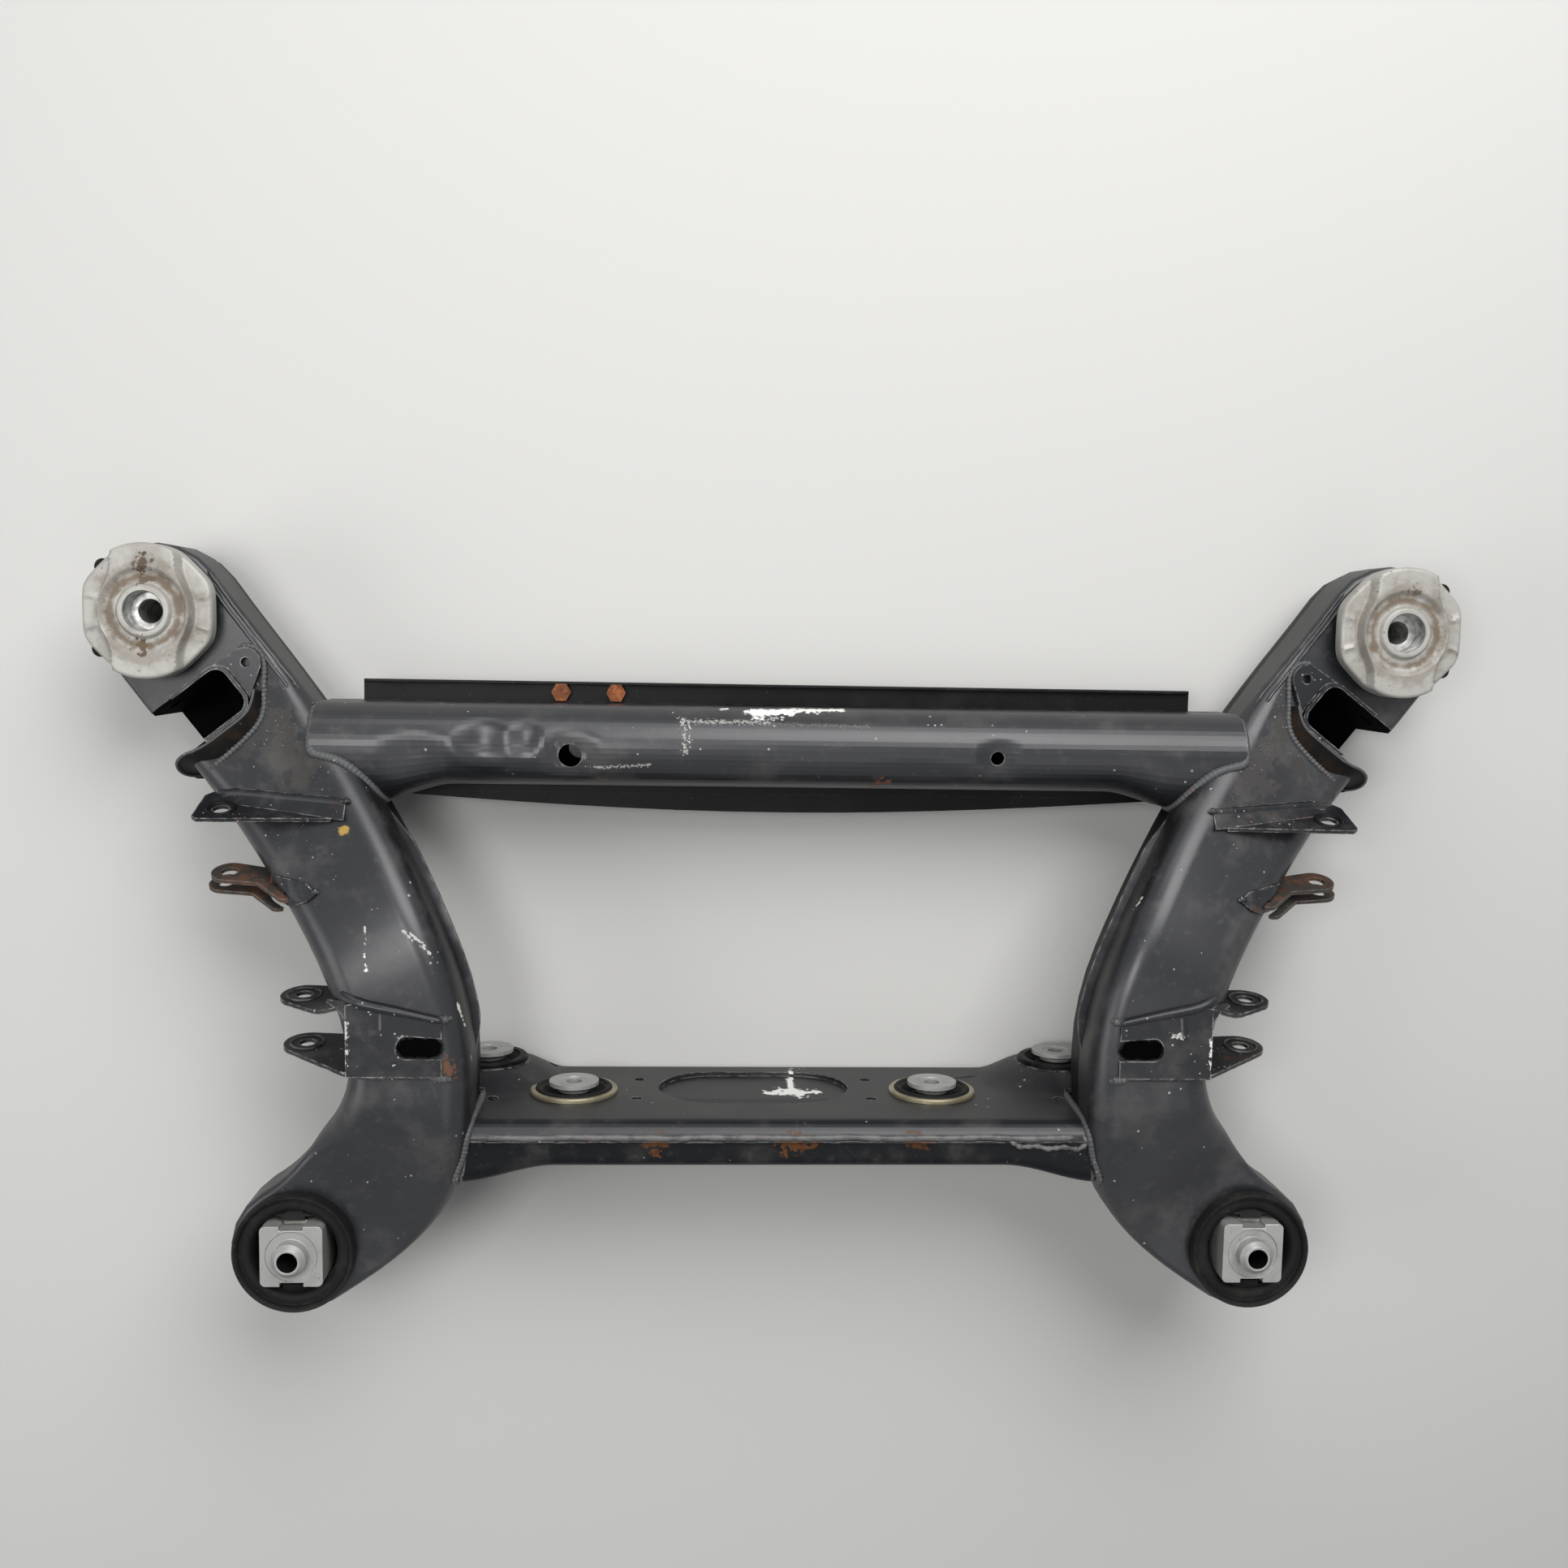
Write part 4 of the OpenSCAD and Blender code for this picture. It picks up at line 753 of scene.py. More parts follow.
def cutAcross(bm, axis, places, wanted=None):  # extra rows of points on chosen faces
    normal = Vector((axis == 0, axis == 1, axis == 2))
    for spot in places:
        faces = [f for f in bm.faces if wanted is None or wanted(f)]
        geom = faces + list({e for f in faces for e in f.edges}) + list({v for f in faces for v in f.verts})
        bmesh.ops.bisect_plane(bm, geom=geom, dist=1e-6, plane_co=normal * spot * 0.001, plane_no=normal)


def surfaceOf(*names):
    bm = copyOf(*names)
    tree = BVHTree.FromBMesh(bm)
    bm.free()
    return tree


skyLevel = 400.0  # above the whole part, in millimetres


def heightAt(tree, x, y):  # top of a surface under a point, all in millimetres
    hit = tree.ray_cast(mm(x, y, skyLevel), Vector((0, 0, -1)))[0]
    return None if hit is None else hit.z * 1000


def ease(value):  # smooth step from 0 to 1
    value = min(max(value, 0.0), 1.0)
    return value * value * (3 - 2 * value)


memberTop = {side: surfaceOf("side_member_upper_" + side) for side, _ in sides}


def dressMembers():
    for side, _ in sides:
        # the lower shells take the near-black paint as painted shade
        for name, look in (("side_member_upper_", "member"), ("side_member_lower_", "dark")):
            place(copyOf(name + side), name + side + "_skin", look, "paint", (name + side,), 34.0)


dressMembers()
print("side members dressed")

tubePress = {
    "axis": (136.0, 86.0),       # middle of the tube, along the car and up
    "radius": 30.0,
    "end": 345.7,
    "slantFrom": 132.0,          # the end is cut back below this
    "slant": 0.85,
    "pullFrom": 290.0,           # past this the skin is drawn in to the slanted end
    "pullAbove": 60.0,
    "flareFrom": 244.0,          # where the near side starts to spread
    "flareLong": 56.0,
    "flareOut": 12.0,
    "flareNear": (140.0, 34.0),  # along the car: from here, full after this much
    "flareUp": (52.0, 24.0),     # and the same upwards
    "leftRows": (-345, -235, 6),  # extra rows of points: from, to, spacing
    "rightRows": (240, 346, 6),
    "roundRows": (104, 168, 3),
    "dentRows": 4,
    "dentAbove": 88.0,
    "dents": (                   # x, y, reach along, reach across, depth
        (-158, 131, 27, 23, 5.0),
        (158, 132, 21, 19, 3.2),
        (-221, 139, 27, 20, 5.0),
        (-191, 141, 17, 17, 3.6),
        (-270, 132, 32, 20, 3.2),
        (-228, 117, 26, 15, 2.6),
        (-40, 124, 60, 14, 1.0),
        (96, 122, 46, 14, 1.0),
    ),
    "flangeShadeTop": 58.0,
}


def tubeEnd(y):
    return tubePress["end"] - tubePress["slant"] * max(0.0, tubePress["slantFrom"] - y)


def flared(x, y, z):  # the near side spreads where it meets the side members
    spread = ease((abs(x) - tubePress["flareFrom"]) / tubePress["flareLong"])
    near, nearLong = tubePress["flareNear"]
    low, highLong = tubePress["flareUp"]
    return y - tubePress["flareOut"] * spread * (ease((near - y) / nearLong) * ease((z - low) / highLong))


def dressTube():
    bm = copyOf("wide_crossmember_upper")
    rows = set(range(*tubePress["leftRows"])) | set(range(*tubePress["rightRows"]))
    for x, _, long, _, _ in tubePress["dents"]:
        rows |= set(range(x - long, x + long + 1, tubePress["dentRows"]))
    cutAcross(bm, 0, sorted(rows))
    roof = tubePress["dentAbove"]
    cutAcross(bm, 1, range(*tubePress["roundRows"]), lambda f: f.calc_center_median().z > roof * 0.001)
    pullFrom = tubePress["pullFrom"]
    for vert in bm.verts:
        x, y, z = vert.co * 1000
        drop = 0.0
        if z > roof:
            for dx, dy, long, wide, depth in tubePress["dents"]:
                drop += depth * ease(1 - math.hypot((x - dx) / long, (y - dy) / wide))
        past = abs(x) - pullFrom
        if past > 0 and z > tubePress["pullAbove"]:
            x = math.copysign(pullFrom + past * (tubeEnd(y) - pullFrom) / (tubePress["end"] - pullFrom), x)
        vert.co = mm(x, flared(x, y, z), z - drop)
    # faces below the flange height take the near-black paint as painted shade
    for face in bm.faces:
        face.material_index = 1 if face.calc_center_median().z * 1000 < tubePress["flangeShadeTop"] else 0
    place(bm, "wide_crossmember_upper_skin", "tube dark", "paint", ("wide_crossmember_upper",), 34.0)
    # the tray below takes the near-black paint as painted shade
    tray = "wide_crossmember_lower"
    place(copyOf(tray), tray + "_skin", "dark", "paint", (tray,))


boxPress = {
    "faceAt": -133.0,
    "faceBand": (-4.0, 0.5),     # points this near the face climb with it
    "flareFrom": 165.0,          # the closing pressing spreads towards the side members
    "flareLong": 72.0,
    "flareOut": 13.0,
    "flareBack": (-146.0, 21.0),  # along the car: from here, full after this much
    "flareUp": (70.0, 50.0),     # and the same upwards
    "turretRise": 13.2,          # the face climbs to the outer bushes
    "turretPlace": (227.7, 33.0),
    "turretEdge": 29.0,
    "turretReach": 36.0,
    "endRows": (166, 258, 6),    # extra rows of points: from, to, spacing
    "coverRows": (72, 150, 8),
    "coverOut": 0.16,            # rows only outside this, in metres
    "faceRows": (4, 110, 6),
    "faceOut": 0.15,
}


def spreadBox(x, y, z):
    spread = ease((abs(x) - boxPress["flareFrom"]) / boxPress["flareLong"])
    back, backLong = boxPress["flareBack"]
    low, highLong = boxPress["flareUp"]
    return y - boxPress["flareOut"] * spread * ease((back - y) / backLong) * ease((z - low) / highLong)


def climbed(x, y, z):
    px, pz = boxPress["turretPlace"]
    far = math.hypot(abs(x) - px, z - pz) - boxPress["turretEdge"]
    behind, before = boxPress["faceBand"]
    if far < 0 or not behind <= y - boxPress["faceAt"] <= before:
        return y
    return y + boxPress["turretRise"] * ease(1 - far / boxPress["turretReach"])


def dressBox():
    ends = sorted({s * x for s in (-1, 1) for x in range(*boxPress["endRows"])})

    def coverEnd(face):
        return abs(face.calc_center_median().x) > boxPress["coverOut"]

    def faceEnd(face):
        return abs(face.normal.y) > 0.8 and abs(face.calc_center_median().x) > boxPress["faceOut"]

    for name, look, rows, wanted, moved in (
            ("narrow_crossmember_cover", "cover", boxPress["coverRows"], coverEnd, spreadBox),
            ("narrow_crossmember_face", "box", boxPress["faceRows"], faceEnd, climbed)):
        bm = copyOf(name)
        cutAcross(bm, 0, ends)
        cutAcross(bm, 2, range(*rows), wanted)
        for vert in bm.verts:
            vert.co.y = moved(*(vert.co * 1000)) * 0.001
        place(bm, name + "_skin", look, "paint", (name,))


dressTube()
dressBox()
print("crossmembers dressed")

bracketLook = (  # node, look, slot
    ("channel_bracket", "bracket hollow", "paint"),
    ("tab_bracket", "bracket", "paint"),
    ("fork_bracket", "bracket", "paint"),
    ("ear_bracket", "ear", "rusty_steel"),
)
bracketEdge = {"sharp": 34.0, "rounding": 0.8}
channelShadeBelow = 92.0             # painted shade: inside the channel is black below this height
forkLean = {
    "from": 241.0,               # outwards along the saddle: where the lean starts, is full and is gone
    "full": 300.0,
    "gone": 338.0,
    "foot": 132.0,               # upwards: where it starts and is full
    "top": 172.0,
    "split": -73.0,              # only the half past this leans
    "blend": 18.0,
    "rise": 12.0,
    "rows": (246, 344, 6),       # extra rows of points: from, to, spacing
    "levels": (134, 174, 6),
}


def leaned(x, y, z):  # the saddle widens and rolls into its upper ear
    far = abs(x)
    share = min(max((far - forkLean["from"]) / (forkLean["full"] - forkLean["from"]), 0.0), 1.0)
    share *= 1 - ease((far - forkLean["full"]) / (forkLean["gone"] - forkLean["full"]))
    share *= ease((z - forkLean["foot"]) / (forkLean["top"] - forkLean["foot"]))
    return y + forkLean["rise"] * share * ease((y - forkLean["split"]) / forkLean["blend"])


def dressBrackets():
    for name, look, slot in bracketLook:
        for side, s in sides:
            node = name + "_" + side
            bm = flatten(copyOf(node))
            if name == "channel_bracket":
                # inside the channel: painted shade below a height
                for face in bm.faces:
                    face.material_index = int(face.calc_center_median().z * 1000 < channelShadeBelow)
            if name == "fork_bracket":
                cutAcross(bm, 0, [s * k for k in range(*forkLean["rows"])])
                cutAcross(bm, 2, range(*forkLean["levels"]))
                for vert in bm.verts:
                    vert.co.y = leaned(*(vert.co * 1000)) * 0.001
            place(bm, node + "_skin", look, slot, (node,), **bracketEdge)


dressBrackets()
print("brackets dressed")

bushLook = (  # node, look, slot, rounding
    ("wide_bush_sleeve", "dark", "paint", 0.0),
    ("wide_bush_rubber", "rubber", "rubber", 0.0),
    ("wide_bush_core", "bore", "cast_alu", 0.0),
    ("narrow_bush_sleeve", "dark", "paint", 0.0),
    ("narrow_bush_core", "core dark", "cast_alu", 0.8),
    ("inner_bush_ring", "zinc", "yellow_zinc", 0.0),
    ("inner_bush_rubber", "rubber", "rubber", 0.0),
    ("inner_bush_core", "core", "cast_alu", 0.0),
    ("outer_bush_ring", "dark", "paint", 0.0),
    ("outer_bush_rubber", "rubber", "rubber", 0.0),
    ("outer_bush_core", "core", "cast_alu", 0.0),
)


narrowBush = {
    "middle": (353.0, -232.0),
    "shadedBoreRadius": 8.4,             # inside this radius the core's bore walls take painted shade
    "lip": ((43.0, 141.5), (43.3, 146.5), (43.1, 149.8), (42.3, 150.9), (41.2, 150.6), (40.5, 149.0),
            (40.0, 147.1), (38.8, 146.5), (36.4, 147.2), (34.0, 147.0), (32.2, 145.6), (31.0, 142.5),
            (30.6, 132.0)),      # radius and height
    "lipThick": -0.8,            # below zero, so the wall grows the other way
    "flatAbove": 145.5,          # the flat ring under the lip, past this height and radius
    "flatPast": 30.5,
    "flatDrop": 3.4,             # goes down by this
    "ribs": ((-10.5, 6.0), (0.0, 8.0), (10.5, 6.0)),  # place across and width
    "ribLong": 7.2,
    "ribDeep": 16.0,
    "ribTop": 141.0,
    "ribGap": 1.4,
    "ribEdge": 1.4,
    "coreHalf": 22.5,
}


def dressBushes():
    cx, cy = narrowBush["middle"]
    for name, look, slot, rounding in bushLook:
        for side, _ in sides:
            node = name + "_" + side
            bm = copyOf(node)
            if rounding:
                flatten(bm)
            if name == "narrow_bush_core":
                for face in bm.faces:
                    x, y, _ = face.calc_center_median() * 1000
                    # bore walls get painted shade
                    bore = math.hypot(abs(x) - cx, y - cy) < narrowBush["shadedBoreRadius"]
                    face.material_index = int(bore and abs(face.normal.z) < 0.5)
            place(bm, node + "_skin", look, slot, (node,), rounding=rounding)
    place(copyOf("flange_bolts"), "flange_bolts_skin", "rust", "rusty_steel", ("flange_bolts",))


dressBushes()

stopPlate = {
    "middle": (460.0, 230.0),
    "low": 100.0,
    "foot": 24.0,                # radius where the underside meets the bush
    "skirt": 106.0,              # top of the upright rim
    "top": 120.0,
    "wing": 111.5,               # height of the side wings
    "half": (46.0, 48.5, 47.0),  # to the sides, to the ends, to the corners
    "corners": 48,               # a higher power makes sharper corners
    "step": 3.0,                 # run of the slope between pad and wing
    "melt": 9.0,                 # pads and hub run together over this
    "bandHalf": 24.0,
    "hubReach": 33.0,
    "bolt": 8.5,
    "recess": 14.0,
    "seat": 104.0,
    "moat": (19.0, 29.5, 3.4),   # from, to, depth
    "moatSlopes": (2.4, 5.0),    # run of its inner and outer slope
    "edge": 2.6,
    "around": 128,
    "rows": 46,
    "crowding": 1.25,            # rows lie closer towards the rim
    "ribs": (-17.0, 15.0),       # turned from straight out to the side
    "ribHalf": 3.2,              # half its width, also in degrees
    "ribRise": 1.6,
    "ribFrom": (35.0, 4.0),      # from here, full after this much
    "ribFade": 3.0,              # gone this near the rim
}


def plateReach(angle):  # distance to the rim, with its corners eased
    across, along, corner = stopPlate["half"]
    c, s = abs(math.cos(angle)), abs(math.sin(angle))
    walls = (c / across, 1.0 / along, (c + s) / math.sqrt(2) / corner)
    return sum(w ** stopPlate["corners"] for w in walls) ** (-1.0 / stopPlate["corners"])


def plateHeight(x, y, rim):  # how far in from the rim the point is
    far = math.hypot(x, y)
    mix = (far - stopPlate["hubReach"], abs(x) - stopPlate["bandHalf"])
    melt = stopPlate["melt"]
    near = min(mix) - max(0.0, melt - abs(mix[0] - mix[1])) ** 2 / (4 * melt)
    raised = 1 - ease(near / stopPlate["step"] + 0.5)
    z = stopPlate["wing"] + (stopPlate["top"] - stopPlate["wing"]) * raised
    start, end, depth = stopPlate["moat"]
    inner, outer = stopPlate["moatSlopes"]
    z -= depth * ease((far - start + inner / 2) / inner) * (1 - ease((far - end + outer / 2) / outer))
    if raised < 0.5 and far > stopPlate["hubReach"]:
        lean = math.degrees(math.atan2(y, abs(x)))
        begin, full = stopPlate["ribFrom"]
        for rib in stopPlate["ribs"]:
            crest = stopPlate["ribRise"] * ease(1 - abs(lean - rib) / stopPlate["ribHalf"])
            z += crest * ease((far - begin) / full) * ease(rim / stopPlate["ribFade"])
    edge = stopPlate["edge"]
    if rim < edge:
        z -= edge * (1 - math.sqrt(max(0.0, 1 - (1 - rim / edge) ** 2)))
    return z


def growRow(bm, made, edges, points):  # pulls out a new row of points and puts it in place
    grown = bmesh.ops.extrude_edge_only(bm, edges=edges)["geom"]
    fresh = {g for g in grown if isinstance(g, bmesh.types.BMVert)}
    heads = [next(o for o in (e.other_vert(v) for e in v.link_edges) if o in fresh) for v in made]
    for vert, point in zip(heads, points):
        vert.co = point
    return heads, [g for g in grown if isinstance(g, bmesh.types.BMEdge)]


def loftRings(bm, around, rings):  # each ring is a function from angle to a point
    made = bmesh.ops.create_circle(bm, segments=around, radius=1.0)["verts"]
    edges = list({e for v in made for e in v.link_edges})
    angles = [math.atan2(v.co.y, v.co.x) for v in made]
    for vert, angle in zip(made, angles):
        vert.co = rings[0](angle)
    for ring in rings[1:]:
        made, edges = growRow(bm, made, edges, [ring(angle) for angle in angles])


def makeStopPlate(side, s):
    cx, cy = stopPlate["middle"]
    low, seat, bolt, recess = (stopPlate[k] for k in ("low", "seat", "bolt", "recess"))
    count = stopPlate["rows"]

    def spot(x, y, z):
        return mm(s * cx + x, cy + y, z)

    def circle(radius, z):
        return lambda a: spot(radius * math.cos(a), radius * math.sin(a), z)

    def rim(inset, z):
        return lambda a: circle(plateReach(a) - inset, z)(a)

    def over(share):
        def point(a):
            reach = plateReach(a)
            far = recess + 0.8 + (reach - recess - 0.8) * share
            x, y = far * math.cos(a), far * math.sin(a)
            return spot(x, y, plateHeight(x, y, reach - far))
        return point

    top = plateHeight(recess, 0, 30)
    rings = [circle(bolt, low), circle(bolt, seat - 0.6), circle(bolt + 0.6, seat),
             circle(recess - 0.6, seat), circle(recess, seat + 0.8), circle(recess, top - 1.0)]
    rings += [over(1 - (1 - k / count) ** stopPlate["crowding"]) for k in range(count + 1)]
    rings += [rim(0.0, stopPlate["skirt"]), rim(0.0, low + 1.0), rim(0.8, low)]
    rings.append(circle(stopPlate["foot"], low))
    bm = bmesh.new()
    loftRings(bm, stopPlate["around"], rings)
    bmesh.ops.bridge_loops(bm, edges=[e for e in bm.edges if e.is_boundary])
    bmesh.ops.recalc_face_normals(bm, faces=bm.faces)
    for face in bm.faces:
        x, y, _ = face.calc_center_median() * 1000
        face.material_index = int(math.hypot(x - s * cx, y - cy) < recess + 0.2)
    place(bm, "stop_plate_" + side + "_skin", "cast bore", "cast_alu", ("stop_plate_" + side,), 50.0)


def spunLip(name, chain, centre, axis, steps, thick):  # thin rubber lip turned round an axis, in millimetres
    bm = bmesh.new()
    made = [bm.verts.new(mm(*p)) for p in chain]
    edges = [bm.edges.new(pair) for pair in zip(made, made[1:])]
    bmesh.ops.spin(bm, geom=made + edges, cent=mm(*centre), axis=axis, dvec=(0, 0, 0),
                   angle=math.tau, steps=steps, use_merge=True)
    bmesh.ops.remove_doubles(bm, verts=bm.verts, dist=1e-6)
    bmesh.ops.recalc_face_normals(bm, faces=bm.faces)
    bmesh.ops.solidify(bm, geom=bm.faces, thickness=thick * 0.001)
    bmesh.ops.recalc_face_normals(bm, faces=bm.faces)
    place(bm, name, "rubber", "rubber", (), 60.0)


def makeNarrowBush(side, s):
    cx, cy = narrowBush["middle"]
    node = "narrow_bush_rubber_" + side
    bm = copyOf(node)
    for vert in bm.verts:
        far = math.hypot(vert.co.x * 1000 - s * cx, vert.co.y * 1000 - cy)
        if vert.co.z * 1000 > narrowBush["flatAbove"] and far > narrowBush["flatPast"]:
            vert.co.z -= narrowBush["flatDrop"] * 0.001
    place(bm, node + "_skin", "rubber", "rubber", (node,), 40.0)
    chain = [(s * cx + r, cy, z) for r, z in narrowBush["lip"]]
    spunLip("narrow_bush_lip_" + side, chain, (s * cx, cy, 0), (0, 0, 1), 96, narrowBush["lipThick"])
    bm = bmesh.new()
    long, deep = narrowBush["ribLong"], narrowBush["ribDeep"]
    away = narrowBush["coreHalf"] + narrowBush["ribGap"] + long / 2
    for end in (-1, 1):
        for off, wide in narrowBush["ribs"]:
            made = bmesh.ops.create_cube(bm, size=0.001)["verts"]
            bmesh.ops.scale(bm, verts=made, vec=(wide, long, deep))
            middle = mm(s * cx + off, cy + end * away, narrowBush["ribTop"] - deep / 2)
            bmesh.ops.translate(bm, verts=made, vec=middle)
    bmesh.ops.bevel(bm, geom=bm.edges, offset=narrowBush["ribEdge"] * 0.001, segments=3, profile=0.5,
                    affect="EDGES", material=-1)
    place(bm, "narrow_bush_ribs_" + side, "rubber", "rubber", (), 40.0)


for side, s in sides:
    makeStopPlate(side, s)
    makeNarrowBush(side, s)
print("bushes dressed")


# welds, sealant and spatter

def spread(line, count):  # points at even shares of a line
    marks = [0.0]
    for a, b in zip(line, line[1:]):
        marks.append(marks[-1] + (b - a).length)
    out, k = [], 0
    for i in range(count + 1):
        spot = marks[-1] * i / count
        while k < len(marks) - 2 and marks[k + 1] < spot:
            k += 1
        gap = marks[k + 1] - marks[k]
        out.append(line[k].lerp(line[k + 1], (spot - marks[k]) / gap if gap else 0.0))
    return out


def evenly(line, step):  # points along a line at an even spacing
    line = [Vector(p) for p in line]
    length = sum((b - a).length for a, b in zip(line, line[1:]))
    return spread(line, max(int(length / step), 2))


def softened(line, rounds=2):  # corners cut off, ends kept
    line = [Vector(p) for p in line]
    for _ in range(rounds):
        cut = [p for a, b in zip(line, line[1:]) for p in (a.lerp(b, 0.25), a.lerp(b, 0.75))]
        line = [line[0]] + cut + [line[-1]]
    return line


def strip(name, lines, look, thick, count=48):  # sheet metal drawn through several lines, in millimetres
    rows = [[p * 0.001 for p in spread(softened(line), count)] for line in lines]
    bm = bmesh.new()
    made = [bm.verts.new(p) for p in rows[0]]
    edges = [bm.edges.new(pair) for pair in zip(made, made[1:])]
    for row in rows[1:]:
        made, edges = growRow(bm, made, edges, row)
    bmesh.ops.recalc_face_normals(bm, faces=bm.faces)
    if sum(f.normal.z for f in bm.faces) < 0:
        bmesh.ops.reverse_faces(bm, faces=bm.faces)
    bmesh.ops.solidify(bm, geom=bm.faces, thickness=thick * 0.001)
    bmesh.ops.recalc_face_normals(bm, faces=bm.faces)
    place(bm, name, look, "paint", (), 50.0)


def circleAngles(count):
    return [math.tau * k / count for k in range(count)]


def roundRing(centre, tilt, radius):  # circle on a plate that leans about the car's width, in millimetres
    lean = Vector((0, -math.sin(math.radians(tilt)), math.cos(math.radians(tilt))))
    across = Vector((1, 0, 0))
    return [Vector(centre) + radius * (math.cos(a) * across + math.sin(a) * lean) for a in circleAngles(48)]


def meshOf(curve):  # a drawn curve as a mesh, the curve itself is removed
    holder = bpy.data.objects.new(curve.name + "_path", curve)
    scene.collection.objects.link(holder)
    graph = bpy.context.evaluated_depsgraph_get()
    mesh = bpy.data.meshes.new_from_object(holder.evaluated_get(graph))
    bpy.data.objects.remove(holder)
    bpy.data.curves.remove(curve)
    bm = bmesh.new()
    bm.from_mesh(mesh)
    bpy.data.meshes.remove(mesh)
    for face in bm.faces:
        face.material_index = 0
    bmesh.ops.remove_doubles(bm, verts=bm.verts, dist=1e-6)
    return bm


beadShape = {"drift": 0.11, "sway": 2.0, "uneven": 0.5, "tip": 0.35}


def bead(name, lines, radius, look, ripple, seed, step=0.9, wave=3.2, closed=False, grow=0.0):
    curve = bpy.data.curves.new(name, "CURVE")
    curve.dimensions = "3D"
    curve.bevel_depth = radius * 0.001
    curve.bevel_resolution = 2
    curve.use_fill_caps = True
    for row, line in enumerate(lines):
        points = evenly(line + [line[0]], step)[:-1] if closed else evenly(line, step)
        spline = curve.splines.new("POLY")
        spline.points.add(len(points) - 1)
        for i, spot in enumerate(points):
            end = min(i, len(points) - 1 - i) * step
            wobble = noise.noise(Vector((i * step * beadShape["drift"], seed, row)))
            beat = math.sin(math.tau * i * step / wave + beadShape["sway"] * wobble)
            swell = 1 + ripple * beat + beadShape["uneven"] * ripple * wobble
            swell *= 1 + grow * i / len(points)
            taper = 1.0 if closed else min(1.0, beadShape["tip"] + end / (2.0 * radius))
            spline.points[i].co = (*(spot * 0.001), 1.0)
            spline.points[i].radius = swell * taper
        spline.use_cyclic_u = closed
    place(meshOf(curve), name, look, "paint", (), 60.0)


def tubeJoint(side, s):  # where the tube's skin meets the side member
    cy, cz = tubePress["axis"]
    radius = tubePress["radius"]
    tree = memberTop[side]
    turns = [math.radians(a) for a in range(2, 181, 6)]
    profile = [(cy + radius + 0.2, z) for z in (66, 74, 80)]
    profile += [(cy + radius * math.cos(a), cz + radius * math.sin(a)) for a in turns]
    profile += [(cy - radius, z) for z in (80, 74, 68, 62)]
    line = []
    for y, z in profile:
        for x in range(230, 347):
            fy = flared(x, y, z)
            roof = heightAt(tree, s * x, fy)
            past = x > tubeEnd(y)
            if roof is not None and (past or roof >= z - 0.4):
                line.append(Vector((s * x, fy, (roof if past else z) + 0.3)))
                break
    return line


boxSection = (                   # along the car and up, over the edge of the box
    (-132.6, 70), (-132.6, 90), (-132.6, 110), (-132.6, 126), (-132.6, 136), (-133.4, 144), (-136, 150),
    (-140, 154), (-147, 155), (-154, 152.5), (-161, 151.5), (-166, 149), (-167, 140),
)


def boxJoint(side, s):  # where the box meets the side member
    line = []
    for y, z in boxSection:
        for x in (k / 2 for k in range(170 * 2, 259 * 2)):
            fy = spreadBox(x, y, z)
            roof = heightAt(memberTop[side], s * x, fy)
            if roof is not None and roof >= z - 0.5:
                line.append(Vector((s * x, fy, z + 0.2)))
                break
    return line


crossWeld = {"tubeRadius": 3.5, "tubeLift": 0.5, "boxRadius": 2.9}


for side, s in sides:
    joint = softened(spread(tubeJoint(side, s), 14), 3)
    lifted = [p + Vector((0, 0, crossWeld["tubeLift"])) for p in joint]
    bead("tube_weld_" + side, [lifted], crossWeld["tubeRadius"], "weld", ripple=0.07, seed=3 + s)
    seam = softened(boxJoint(side, s))
    bead("box_weld_" + side, [seam], crossWeld["boxRadius"], "weld", ripple=0.10, seed=7 + s)
print("crossmember welds made")


def sideHit(tree, start, way):  # nearest point of a surface, looking level, in millimetres
    hit = tree.ray_cast(mm(*start), Vector(way))[0]
    return None if hit is None else hit * 1000


tabTrim = {
    "ridge": ((316, 96.6), (335, 97.6), (360, 98.6), (385, 100.0), (400, 100.6), (412, 99.2), (419, 97.0)),
    "fold": ((2.4, -0.4), (1.6, 1.8), (0.0, 2.8), (-1.8, 2.4), (-3.4, 2.6)),  # along the car and up
    "foldTop": 9.0,
    "foldThick": 1.2,
    "bulb": ((-4.0, 0.0, -1.5), (3.0, 0.2, -1.2)),
    "bulbRadius": 3.4,
    "footAt": 88.0,              # middle of the foot along the car
    "footHalf": 4.0,
    "weldRadius": 1.5,
    "eye": (405.8, 89.5, 125.3),
    "tilt": 20.0,
    "ring": 9.6,
    "ringRadius": 1.5,
}


def tabLines(side, s):  # both sides of the tab bracket's foot
    tree = surfaceOf("tab_bracket_" + side)
    lines = []
    for start, way in ((130, -1), (50, 1)):
        line = []
        for x in range(330, 392, 2):
            z = heightAt(memberTop[side], s * x, tabTrim["footAt"] - way * tabTrim["footHalf"])
            spot = None if z is None else sideHit(tree, (s * x, start, z + 0.8), (0, way, 0))
            if spot is not None:
                line.append(spot + Vector((0, -0.4 * way, 0)))
        if len(line) > 3:
            lines.append(line)
    return lines


innerEdge = {"offsets": (2.6, 8.6), "span": (176, 262), "radius": 1.5}
innerLip = {"span": (-84, 90), "reach": 6.0, "thick": 2.6}


def edgeLine(side, s, first, last, offset):  # ridge that follows the inner edge of a side member
    line = []
    for y in range(first, last, 3):
        for k in range(200 * 2, 500 * 2):
            z = heightAt(memberTop[side], s * k / 2, y)
            if z is not None and z > 60:
                x = k / 2 + offset
                roof = heightAt(memberTop[side], s * x, y)
                line.append(Vector((s * x, y, roof - 0.2)))
                break
    return line


